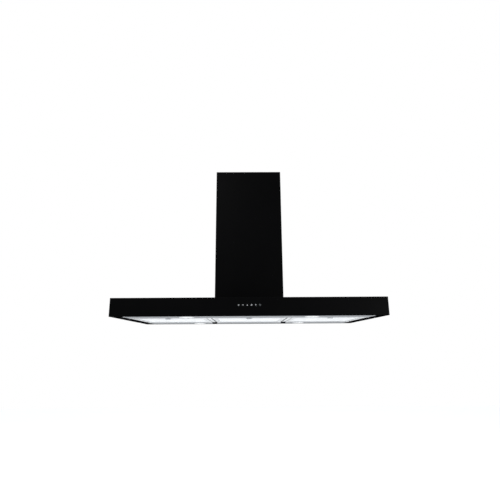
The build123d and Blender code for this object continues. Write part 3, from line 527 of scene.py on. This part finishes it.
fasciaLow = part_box("front_fascia")[0]
copies = {node: refinedCopy(node, material, rounding) for node, (material, rounding) in smoothNodes.items()}
print("finished copies:", len(copies))


# the canopy's lips are matt below, and its inside has a grey back coat

coat = {"skin": 0.9, "lipHeight": 1.6, "lipFacing": -0.8}
skin, shellRear = coat["skin"] * mm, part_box("canopy_shell")[1].y
for node in ("canopy_shell", "front_fascia"):
    sheet, (low, high) = copies[node].data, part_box(node)
    sheet.materials.append(finish["mattePaint"])
    sheet.materials.append(finish["backCoat"])
    for face in sheet.polygons:
        middle = face.center
        if face.normal.z < coat["lipFacing"] and middle.z < low.z + coat["lipHeight"] * mm:
            face.material_index = 1
        elif (abs(middle.x) < high.x - skin and fasciaLow.y + skin < middle.y < shellRear - skin
              and low.z + skin < middle.z < high.z - skin):
            face.material_index = 2


# switches, chip and sockets stand off the control board's green plate

boardPlate = {"front": 6.0, "gauge": 1.6, "clearance": 0.1}
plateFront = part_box("control_board")[0].y + boardPlate["front"] * mm
spare, gauge = boardPlate["clearance"] * mm, boardPlate["gauge"] * mm
sheet = copies["control_board"].data
sheet.materials.append(finish["blackNylon"])
for face in sheet.polygons:
    if not -spare < face.center.y - plateFront < gauge + spare:
        face.material_index = 1


# keys: a dished cap, a retaining flange and a stem, with a pale print on the face

keyShape = {
    "capRadius": 6.8, "face": 0.45, "rim": 0.6, "wall": 1.5, "flangeRadius": 8.2, "flangeGauge": 1.0,
    "stemRadius": 2.5, "stemEnd": 9.0, "sides": 40,
    "printDepth": 0.22, "printFace": 0.56, "stroke": 1.15, "printScale": 0.74, "cornerRadius": 0.5,
}
frontY = fasciaLow.y


def addKeyCap(bm, centre):
    face, rim, wall = keyShape["face"], keyShape["rim"], -keyShape["wall"]
    flange, stem, end = keyShape["flangeRadius"], keyShape["stemRadius"], -keyShape["stemEnd"]
    back = wall - keyShape["flangeGauge"]
    outline = [(0, face - 0.06), (3.4, face - 0.04), (5.2, face + 0.02), (5.9, rim), (6.3, rim)]
    outline += [(6.62, rim - 0.1), (keyShape["capRadius"], rim - 0.4), (keyShape["capRadius"], wall)]
    outline += [(flange, wall), (flange, back), (stem, back), (stem, end), (0, end)]
    addSpun(bm, inMetres(outline), centre, (0, -1, 0), keyShape["sides"])


def uprightEdges(verts):
    # the edges that run from front to back
    return {edge for vert in verts for edge in vert.link_edges
            if abs((edge.verts[0].co - edge.verts[1].co).normalized().y) > 0.9}


def addStroke(bm, centre, start, end, width=None):
    width = (width or keyShape["stroke"]) * mm
    start, end = Vector(start) * mm, Vector(end) * mm
    along = end - start
    stand = Matrix.Translation(centre + Vector(((start + end).x / 2, 0, (start + end).y / 2)))
    stand = stand @ Matrix.Rotation(-math.atan2(along.y, along.x), 4, "Y")
    size = Matrix.Diagonal((along.length + width * 0.6, keyShape["printDepth"] * mm, width, 1.0))
    verts = bmesh.ops.create_cube(bm, size=1.0, matrix=stand @ size)["verts"]
    bevelEdges(bm, uprightEdges(verts), 0.3 * width, 3)


def addArcStroke(bm, centre, radius, startAngle, endAngle):
    width, depth = keyShape["stroke"] * mm, keyShape["printDepth"] * mm
    turn = Matrix.Rotation(math.radians(-startAngle), 4, "Y")
    corners = [(radius * mm - width / 2, -depth / 2), (radius * mm + width / 2, -depth / 2),
               (radius * mm + width / 2, depth / 2), (radius * mm - width / 2, depth / 2)]
    verts = [bm.verts.new(centre + turn @ Vector((r, y, 0))) for r, y in corners]
    sweep = endAngle - startAngle
    whole = sweep >= 360
    edges = [bm.edges.new((verts[i], verts[(i + 1) % 4])) for i in range(4)]
    face = [] if whole else [bm.faces.new(verts)]
    bmesh.ops.spin(bm, geom=verts + edges + face, cent=centre, axis=(0, -1, 0), use_merge=whole,
                   angle=math.radians(sweep), steps=int(sweep / 9))


def addTriangle(bm, centre, radius, turned):
    # points up, or down when it is turned by 180 degrees
    stand = Matrix.Translation(centre) @ Matrix.Rotation(math.radians(90), 4, "X")
    stand = stand @ Matrix.Rotation(math.radians(turned), 4, "Z")
    verts = bmesh.ops.create_cone(bm, cap_ends=True, segments=3, radius1=radius * mm, radius2=radius * mm,
                                  depth=keyShape["printDepth"] * mm, matrix=stand)["verts"]
    bevelEdges(bm, uprightEdges(verts), keyShape["cornerRadius"] * mm, 3)


def addIcon(bm, kind, centre):
    raised = Vector((0, 0, 0.6 * mm))
    if kind == "power":
        addArcStroke(bm, centre, 3.3, 120, 420)
        addStroke(bm, centre, (0, 1.2), (0, 3.9))
    elif kind == "minus":
        addTriangle(bm, centre + raised, 4.1, 180)
    elif kind == "plus":
        addTriangle(bm, centre - raised, 4.1, 0)
    elif kind == "timer":
        addArcStroke(bm, centre, 3.4, 0, 360)
        addStroke(bm, centre, (0, 0), (0, 2.0), 0.8)
        addStroke(bm, centre, (0, 0), (1.5, 0), 0.8)
    elif kind == "light":
        addArcStroke(bm, centre + raised, 2.2, -60, 240)
        addStroke(bm, centre, (-1.0, -2.3), (1.0, -2.3), 0.8)
        addStroke(bm, centre, (-0.8, -3.5), (0.8, -3.5), 0.8)
        for angle in (20, 55, 90, 125, 160):
            ray = Vector((math.cos(math.radians(angle)), math.sin(math.radians(angle))))
            addStroke(bm, centre + raised, ray * 3.4, ray * 4.1, 0.7)


keyKinds = ("power", "minus", "plus", "timer", "light")
for kind in keyKinds:
    low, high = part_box("key_" + kind)
    centre = Vector(((low.x + high.x) / 2, frontY, (low.z + high.z) / 2))
    bm = bmesh.new()
    addKeyCap(bm, centre)
    makePiece("keyCap_" + kind, bm, "keyCap", kind + "_key", ["key_" + kind])
    bm = bmesh.new()
    printY = -(keyShape["printFace"] - keyShape["printDepth"] / 2) * mm
    addIcon(bm, kind, centre + Vector((0, printY, 0)))
    shrink = keyShape["printScale"]
    bmesh.ops.scale(bm, vec=(shrink, 1, shrink), space=Matrix.Translation(-centre), verts=bm.verts)
    makePiece("keyPrint_" + kind, bm, "iconPrint", kind + "_key")


# springs: wound wire for each key and each filter latch

springShape = {
    "key": {"radius": 3.6, "wire": 0.5, "turns": 3, "closedTurns": 0.75},
    "latch": {"radius": 2.6, "wire": 0.7, "turns": 6, "closedTurns": 1.0},
    "closedPitch": 1.04, "reach": 0.3, "stepsPerTurn": 24, "wireSides": 10,
}


def addCoil(bm, start, end, shape):
    # the wire's round section is spun about the line from start to end, closer at the two ends
    start, end = Vector(start), Vector(end)
    along, wire = (end - start).normalized(), shape["wire"] * mm
    first = start + along * wire / 2
    closedPitch = springShape["closedPitch"] * wire
    openPitch = ((end - start).length - wire - 2 * shape["closedTurns"] * closedPitch) / shape["turns"]
    section = standAlong(first, along) @ Matrix.Translation((shape["radius"] * mm, 0, 0))
    section = section @ Matrix.Rotation(math.radians(90), 4, "X")
    verts = bmesh.ops.create_circle(bm, cap_ends=True, segments=springShape["wireSides"], radius=wire / 2,
                                    matrix=section)["verts"]
    geometry = {part for vert in verts for part in (vert, *vert.link_edges, *vert.link_faces)}
    for turns, pitch in ((shape["closedTurns"], closedPitch), (shape["turns"], openPitch),
                         (shape["closedTurns"], closedPitch)):
        steps = int(turns * springShape["stepsPerTurn"])
        geometry = bmesh.ops.spin(bm, geom=list(geometry), cent=first, axis=along, angle=fullTurn * turns,
                                  steps=steps, dvec=along * pitch * turns / steps)["geom_last"]


def makeSpring(name, ends, shape, body, node):
    # ends are (front, rear) points of each coil
    bm = bmesh.new()
    for front, rear in ends:
        addCoil(bm, rear, front, shape)
    piece = makePiece(name, bm, "springWire", body, [node])
    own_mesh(piece)


def springEnds(x, node, z):
    low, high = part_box(node)
    reach = springShape["reach"] * mm
    return Vector((x, low.y - reach, z)), Vector((x, high.y + reach, z))


for kind in keyKinds:
    low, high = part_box("key_" + kind)
    makeSpring("keySpring_" + kind, [springEnds((low.x + high.x) / 2, "key_springs", (low.z + high.z) / 2)],
               springShape["key"], "hood", "key_springs")
for side in filterSides:
    node = "latch_springs_" + side
    low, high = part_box(node)
    inset = (springShape["latch"]["radius"] + springShape["latch"]["wire"] / 2) * mm
    makeSpring("latchSpring_" + side,
               [springEnds(x, node, (low.z + high.z) / 2) for x in (low.x + inset, high.x - inset)],
               springShape["latch"], "filter_" + side, node)
print("springs made")


# indicator: a smoked window with a fine ring, held by a flange

indicator = {
    "lens": [(0, 0.2), (2.4, 0.18), (3.7, 0.06), (4.2, -0.15), (4.2, -1.5), (5.5, -1.5), (5.5, -2.7),
             (0, -2.7)],
    "ring": [(2.3, 0.12), (2.9, 0.12), (2.9, 0.19), (2.3, 0.19)], "sides": 32,
}
low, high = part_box("indicator_lens")
lensCentre = Vector(((low.x + high.x) / 2, frontY, (low.z + high.z) / 2))
bm = bmesh.new()
addSpun(bm, inMetres(indicator["lens"]), lensCentre, (0, -1, 0), indicator["sides"])
addSpun(bm, inMetres(indicator["ring"]), lensCentre, (0, -1, 0), indicator["sides"], closed=True)
makePiece("indicatorLens", bm, "smokedPlastic", "hood", ["indicator_lens"])
print("keys and indicator made")


# lamps: a stepped bezel and a lens pressed with rings

lamp = {
    "bezel": [(25.0, -6.0), (25.0, 1.0), (25.7, 1.75), (27.0, 2.0), (31.4, 1.75), (32.6, 1.2), (33.0, 0.5),
              (33.0, 0.0), (27.0, 0.0), (27.0, -6.0)],
    "bezelRadius": 33.0, "lensRadius": 24.9, "lensBack": -1.2, "rings": 7, "ringHigh": 1.35, "ringLow": 1.0,
    "crest": 0.82, "sides": 56,
}
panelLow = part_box("lamp_panel_front")[0].z
bezelLow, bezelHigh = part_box("lamp_bezels")
bezelReach = lamp["bezelRadius"] * mm
lampPlaces = [(x, y) for y in (bezelLow.y + bezelReach, bezelHigh.y - bezelReach)
              for x in (bezelLow.x + bezelReach, bezelHigh.x - bezelReach)]
ringPitch = (lamp["lensRadius"] - 1.0) / lamp["rings"]
lensOutline = [(0, lamp["ringHigh"])]
for i in range(lamp["rings"]):
    lensOutline += [((i + lamp["crest"]) * ringPitch, lamp["ringLow"]), ((i + 1) * ringPitch, lamp["ringHigh"])]
lensOutline += [(lamp["lensRadius"] - 0.4, 1.2), (lamp["lensRadius"], 0.8)]
lensOutline += [(lamp["lensRadius"], lamp["lensBack"]), (0, lamp["lensBack"])]
bezels, lenses = bmesh.new(), bmesh.new()
for x, y in lampPlaces:
    addSpun(bezels, inMetres(lamp["bezel"]), (x, y, panelLow), (0, 0, -1), lamp["sides"], closed=True)
    addSpun(lenses, inMetres(lensOutline), (x, y, panelLow), (0, 0, -1), lamp["sides"])
makePiece("lampBezels", bezels, "polishedSteel", "hood", ["lamp_bezels"])
makePiece("lampLenses", lenses, "frostedGlass", "hood", ["lamp_lenses"])
print("lamps made:", len(lampPlaces))


# filter trim: corner rivets and a rolled bead round each window

trim = {
    "rivetRadius": 2.6, "rivetHeight": 0.9, "rivetInset": (8.0, 20.0),
    "beadWidth": 2.2, "beadHeight": 0.7, "beadRoot": 0.2, "beadRounding": 0.25,
    "frontMember": 30.0, "otherMember": 22.0,
}


def addRivet(bm, centre, axis, radius, height, sides=16):
    # a low dome
    outline = [(0, height), (0.5 * radius, 0.86 * height), (0.84 * radius, 0.5 * height), (radius, 0.0),
               (radius, -0.2 * height), (0, -0.2 * height)]
    addSpun(bm, outline, centre, axis, sides)


def addFlatFrame(bm, low, high, rim, rounding):
    # a picture-frame ring between two corners, rim wide, lying flat
    addBox(bm, low, high)
    bm.faces.ensure_lookup_table()
    caps = [face for face in bm.faces[-6:]
            if max(v.co.z for v in face.verts) - min(v.co.z for v in face.verts) < 1e-9]
    bmesh.ops.inset_individual(bm, faces=caps, thickness=rim, depth=0.0, use_even_offset=True)
    bmesh.ops.bridge_loops(bm, edges=[edge for face in caps for edge in face.edges])
    bmesh.ops.delete(bm, geom=caps, context="FACES_ONLY")
    corners = [edge for edge in bm.edges if len(edge.link_faces) == 2 and edge.calc_face_angle(0.0) > 1.2]
    bevelEdges(bm, corners, rounding)


for side in filterSides:
    low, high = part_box("filter_frame_" + side)
    latchLow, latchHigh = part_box("filter_latch_" + side)
    middle = (latchLow.x + latchHigh.x) / 2
    coreLow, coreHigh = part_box("baffle_core_" + side)
    halfWidth = (coreHigh.x - coreLow.x) / 2 + trim["otherMember"] * mm
    bm = bmesh.new()
    for signX in (-1, 1):
        for y, signY in ((low.y, 1), (high.y, -1)):
            for inset in trim["rivetInset"]:
                x = middle + signX * (halfWidth - inset * mm)
                addRivet(bm, (x, y + signY * trim["rivetInset"][0] * mm, low.z), (0, 0, -1),
                         trim["rivetRadius"] * mm, trim["rivetHeight"] * mm)
    makePiece("filterRivets_" + side, bm, "polishedSteel", "filter_" + side)
    bm = bmesh.new()
    bead = trim["beadWidth"] * mm
    reach = coreHigh.x - middle + bead
    addFlatFrame(bm, (middle - reach, low.y + trim["frontMember"] * mm - bead, low.z - trim["beadHeight"] * mm),
                 (middle + reach, high.y - trim["otherMember"] * mm + bead, low.z + trim["beadRoot"] * mm),
                 bead, trim["beadRounding"] * mm)
    makePiece("filterBead_" + side, bm, "frameSteel", "filter_" + side)
print("filter trim made")


# chimney: a seal round its foot, and a lapped seam with rivets down its back

chimney = {
    "sealWidth": 2.5, "sealHeight": 1.6, "sealRounding": 0.5,
    "seamHalf": 9.0, "seamGauge": 0.8, "seamSunk": 0.1, "seamFoot": 3.0, "seamHead": 2.0, "seamRounding": 0.3,
    "rivetPitch": 80.0, "rivetStart": 0.7, "rivetRadius": 2.4, "rivetHeight": 0.9,
}
towerLow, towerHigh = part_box("chimney_lower")
bm = bmesh.new()
grow = chimney["sealWidth"] * mm
addFlatFrame(bm, (towerLow.x - grow, towerLow.y - grow, towerLow.z),
             (towerHigh.x + grow, towerHigh.y + grow, towerLow.z + chimney["sealHeight"] * mm), grow,
             chimney["sealRounding"] * mm)
makePiece("chimneySeal", bm, "rubber", "hood")
bm = bmesh.new()
seamHalf, seamFace = chimney["seamHalf"] * mm, towerHigh.y + chimney["seamGauge"] * mm
addBox(bm, (-seamHalf, towerHigh.y - chimney["seamSunk"] * mm, towerLow.z + chimney["seamFoot"] * mm),
       (seamHalf, seamFace, towerHigh.z - chimney["seamHead"] * mm), chimney["seamRounding"] * mm)
rivetPitch = chimney["rivetPitch"] * mm
for i in range(int((towerHigh.z - towerLow.z) / rivetPitch)):
    addRivet(bm, (0, seamFace, towerLow.z + (i + chimney["rivetStart"]) * rivetPitch), (0, 1, 0),
             chimney["rivetRadius"] * mm, chimney["rivetHeight"] * mm)
makePiece("chimneySeam", bm, "blackPaint", "hood")
print("chimney details made")


# seals, screws, rivets and small fittings; the divider seals double as painted shadow lines

panScrew = {"radius": 3.4, "height": 1.7}


def addScrew(bm, centre, axis, radius=panScrew["radius"] * mm, height=panScrew["height"] * mm, sides=20):
    # a pan head with a dished socket
    outline = [(0, 0.3 * height), (0.36 * radius, 0.34 * height), (0.46 * radius, 0.97 * height)]
    outline += [(0.7 * radius, 0.92 * height), (0.92 * radius, 0.6 * height), (radius, 0.15 * height)]
    outline += [(radius, -0.1 * height), (0, -0.1 * height)]
    addSpun(bm, outline, centre, axis, sides)


# dark rubber strips down both edges of each divider: seals whose dark colour also serves as painted shadow
# lines between divider and filters
divider = {"half": 10.0, "sealWidth": 1.4, "sealDrop": 0.7, "sealHeight": 5.0, "front": 1.0, "rear": 2.0}
railLow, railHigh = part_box("divider_bars")
railHalf, sealWidth = divider["half"] * mm, divider["sealWidth"] * mm
bm = bmesh.new()
for middle in (railLow.x + railHalf, railHigh.x - railHalf):
    for inner in (middle - railHalf - sealWidth, middle + railHalf):
        addBox(bm, (inner, railLow.y + divider["front"] * mm, railLow.z - divider["sealDrop"] * mm),
               (inner + sealWidth, railHigh.y - divider["rear"] * mm, railLow.z + divider["sealHeight"] * mm),
               0.3 * mm)
makePiece("dividerSealsPaintedShadow", bm, "rubber", "hood")

motorTrim = {"rivetHeights": (40, 131), "rivetTop": 40, "rivetRows": (-70, 0, 70), "rivetRadius": 2.4,
             "rivetHeight": 0.9, "screwColumns": (-60, 60), "screwInset": 12, "screwDepth": 1.8}
boxLow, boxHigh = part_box("motor_box")
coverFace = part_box("motor_box_cover")[0].y + motorTrim["screwDepth"] * mm
inset = motorTrim["screwInset"] * mm
bm = bmesh.new()
rivetHeights = [boxLow.z + height * mm for height in motorTrim["rivetHeights"]]
for z in (*rivetHeights, boxHigh.z - motorTrim["rivetTop"] * mm):
    for y in motorTrim["rivetRows"]:
        for x, outwards in ((boxHigh.x, 1), (boxLow.x, -1)):
            addRivet(bm, (x, y * mm, z), (outwards, 0, 0), motorTrim["rivetRadius"] * mm,
                     motorTrim["rivetHeight"] * mm)
for x in motorTrim["screwColumns"]:
    for z in (boxLow.z + inset, boxHigh.z - inset):
        addScrew(bm, (x * mm, coverFace, z), (0, -1, 0))
makePiece("motorBoxRivets", bm, "zincPlate", "hood")

plate = {"width": 62.0, "height": 34.0, "gauge": 0.5, "middle": -560.0, "sunk": 0.1, "rounding": 0.15,
         "rivetPlaces": (27.0, 13.0), "rivetRadius": 1.5, "rivetHeight": 0.6}
halfWide, halfTall = plate["width"] / 2 * mm, plate["height"] / 2 * mm
plateFace, plateMiddle = coverFace - plate["gauge"] * mm, plate["middle"] * mm
rivetX, rivetZ = (reach * mm for reach in plate["rivetPlaces"])
bm = bmesh.new()
addBox(bm, (-halfWide, plateFace, plateMiddle - halfTall),
       (halfWide, coverFace + plate["sunk"] * mm, plateMiddle + halfTall), plate["rounding"] * mm)
for x in (-rivetX, rivetX):
    for z in (plateMiddle - rivetZ, plateMiddle + rivetZ):
        addRivet(bm, (x, plateFace, z), (0, -1, 0), plate["rivetRadius"] * mm, plate["rivetHeight"] * mm, 12)
makePiece("blankPlate", bm, "castAluminium", "hood")

collar = {"screwCircle": 82.0, "flange": 2.0, "firstScrew": 30, "screwStep": 60}
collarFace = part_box("duct_collar")[0].z + collar["flange"] * mm
circle = collar["screwCircle"] * mm
bm = bmesh.new()
for angle in range(collar["firstScrew"], collar["firstScrew"] + 360, collar["screwStep"]):
    turn = math.radians(angle)
    addScrew(bm, (circle * math.cos(turn), circle * math.sin(turn), collarFace), (0, 0, 1))
makePiece("collarScrews", bm, "zincPlate", "hood")


# lamp driver: moulded ribs and a terminal cover on its underside

driver = {"ribs": 5, "firstRib": 34, "ribPitch": 18, "ribHalf": 1.2, "ribInset": 4, "ribDrop": 0.8, "sunk": 0.5,
          "coverEnds": (34, 16), "coverInset": 5, "coverDrop": 3.5, "screwInset": 11}
driverLow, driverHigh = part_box("led_driver")
root, ribHalf, ribInset = driverLow.z + driver["sunk"] * mm, driver["ribHalf"] * mm, driver["ribInset"] * mm
coverStart, coverEnd = (driverHigh.x - reach * mm for reach in driver["coverEnds"])
coverInset, coverLow = driver["coverInset"] * mm, driverLow.z - driver["coverDrop"] * mm
bm = bmesh.new()
for i in range(driver["ribs"]):
    x = driverLow.x + (driver["firstRib"] + driver["ribPitch"] * i) * mm
    addBox(bm, (x - ribHalf, driverLow.y + ribInset, driverLow.z - driver["ribDrop"] * mm),
           (x + ribHalf, driverHigh.y - ribInset, root), 0.35 * mm)
addBox(bm, (coverStart, driverLow.y + coverInset, coverLow), (coverEnd, driverHigh.y - coverInset, root),
       1.2 * mm, 3)
for y in (driverLow.y + driver["screwInset"] * mm, driverHigh.y - driver["screwInset"] * mm):
    addScrew(bm, ((coverStart + coverEnd) / 2, y, coverLow), (0, 0, -1), 2.4 * mm, 0.9 * mm, 16)
makePiece("driverRibs", bm, "whitePlastic", "hood")


# parts on the mains board: relays are (x, z, width, height), capacitors (x, z, radius, height)

mainsBoard = {
    "face": 4.6, "relayHalf": 7,
    "relays": [(-34, 26, 15, 11), (-12, 26, 15, 11), (12, 28, 20, 9), (36, 24, 9, 9), (-36, -4, 12, 10),
               (30, -6, 18, 9)],
    "capacitors": [(-10, -8, 6, 10), (6, -8, 4, 9), (16, -30, 4, 9), (-36, -30, 5, 10)],
}
boardLow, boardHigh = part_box("power_board")
boardCentre = Vector((0, boardLow.y + mainsBoard["face"] * mm, (boardLow.z + boardHigh.z) / 2))
bm = bmesh.new()
for x, z, width, height in mainsBoard["relays"]:
    middle, half = boardCentre + Vector((x, 0, z)) * mm, mainsBoard["relayHalf"]
    addBox(bm, middle - Vector((width / 2, 0, half)) * mm,
           middle + Vector((width / 2, height, half)) * mm, 0.8 * mm)
makePiece("relays", bm, "blackNylon", "hood")
bm = bmesh.new()
for x, z, radius, height in mainsBoard["capacitors"]:
    middle = boardCentre + Vector((x, 0, z)) * mm
    addRod(bm, middle, middle + Vector((0, height * mm, 0)), radius * mm, 24, 0.7 * mm)
makePiece("boardCapacitors", bm, "castAluminium", "hood")


# grommet round the mains cable's hole in the ceiling bracket

grommet = {"place": (40.0, 127.0), "bracketGauge": 2.5, "sides": 36,
           "profile": [(8.8, -1.6), (8.8, 1.0), (10.0, 1.3), (13.0, 1.1), (13.6, 0.6), (13.6, 0.0),
                       (10.95, 0.0), (10.95, -1.6)]}
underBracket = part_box("ceiling_bracket")[1].z - grommet["bracketGauge"] * mm
grommetX, grommetY = (reach * mm for reach in grommet["place"])
bm = bmesh.new()
addSpun(bm, inMetres(grommet["profile"]), (grommetX, grommetY, underBracket), (0, 0, -1), grommet["sides"],
        closed=True)
makePiece("cableGrommet", bm, "rubber", "ceiling_mount")
print("fittings made")


# stage, light and camera

studio = {
    "floorDrop": 1.6, "floorSize": 16.0, "floorColour": 0.92, "floorClouds": 0.015, "floorGlow": 0.16,
    "worldLight": 0.92,
    "lights": {  # place, aim, size and watts
        "keyLight": ((-1.3, -3.2, 1.5), (0, 0, -0.3), (1.4, 1.4), 40),
        "fillLight": ((1.9, -3.2, -0.4), (0, 0, -0.6), (1.2, 1.4), 22),
        "topLight": ((0.4, 1.2, 3.2), (0, 0, -0.4), (3.0, 3.0), 40),
        "backLight": ((-1.6, 3.2, 0.6), (0, 0, -0.4), (1.6, 1.6), 30),
        "floorLight": ((0, 0.6, -0.95), (0, 0.6, -3.0), (3.0, 3.0), 30),
    },
}


def makeFloor():
    shade, clouds = studio["floorColour"], studio["floorClouds"]
    material, tree, shader, vector = startMaterial(
        "studioFloor", (shade,) * 3, 0.8, Emission_Color=(1, 1, 1, 1), Emission_Strength=studio["floorGlow"])
    speck = addNode(tree, "ShaderNodeTexNoise", {"Vector": vector, "Scale": 3.0, "Detail": 5.0})
    tint(tree, shader, speck.outputs["Fac"], (shade - clouds,) * 3, (shade + clouds,) * 3)
    bm = bmesh.new()
    bmesh.ops.create_grid(bm, x_segments=1, y_segments=1, size=studio["floorSize"] / 2)
    bmesh.ops.translate(bm, vec=(0, 0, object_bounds()[0].z - studio["floorDrop"]), verts=bm.verts)
    mesh = bpy.data.meshes.new("studioFloor")
    bm.to_mesh(mesh)
    bm.free()
    floor = bpy.data.objects.new("studioFloor", mesh)
    bpy.context.scene.collection.objects.link(floor)
    mesh.materials.append(material)


def makeWorld():
    # plain white to the camera, and slightly cool light on the object
    world = bpy.data.worlds.new("studio")
    world.use_nodes = True
    tree = world.node_tree
    tree.nodes.clear()
    seen = addNode(tree, "ShaderNodeBackground", {"Color": (1, 1, 1, 1), "Strength": 1.0})
    cast = addNode(tree, "ShaderNodeBackground",
                   {"Color": (0.96, 0.98, 1, 1), "Strength": studio["worldLight"]})
    path = addNode(tree, "ShaderNodeLightPath")
    mix = addNode(tree, "ShaderNodeMixShader",
                  {0: path.outputs["Is Camera Ray"], 1: cast.outputs[0], 2: seen.outputs[0]})
    addNode(tree, "ShaderNodeOutputWorld", {"Surface": mix.outputs[0]})
    bpy.context.scene.world = world


def addSoftLight(name, spot, aim, size, power):
    light = bpy.data.lights.new(name, "AREA")
    light.shape = "RECTANGLE"
    light.size, light.size_y = size
    light.energy = power
    panel = bpy.data.objects.new(name, light)
    panel.location = spot
    panel.rotation_euler = (Vector(aim) - Vector(spot)).to_track_quat("-Z", "Y").to_euler()
    bpy.context.scene.collection.objects.link(panel)


view = {
    "place": (-0.009, -1.990, -0.866), "pitch": 13.75, "yaw": -0.45, "roll": 0.38,
    "focal": 27.78, "sensor": 36.0, "nearest": 0.01, "farthest": 100.0,
}


def makeCamera():
    camera = bpy.data.cameras.new("camera")
    camera.lens = view["focal"]
    camera.sensor_width = view["sensor"]
    camera.clip_start = view["nearest"]
    camera.clip_end = view["farthest"]
    eye = bpy.data.objects.new("camera", camera)
    turn = Matrix.Identity(4)
    for angle, axis in ((view["yaw"], "Z"), (view["pitch"], "X"), (view["roll"], "Y"), (90, "X")):
        turn = turn @ Matrix.Rotation(math.radians(angle), 4, axis)
    eye.matrix_world = Matrix.Translation(view["place"]) @ turn
    bpy.context.scene.collection.objects.link(eye)
    bpy.context.scene.camera = eye


makeFloor()
makeWorld()
for name, settings in studio["lights"].items():
    addSoftLight(name, *settings)
makeCamera()
bpy.context.scene.view_settings.view_transform = "Standard"
print("stage, light and camera made")
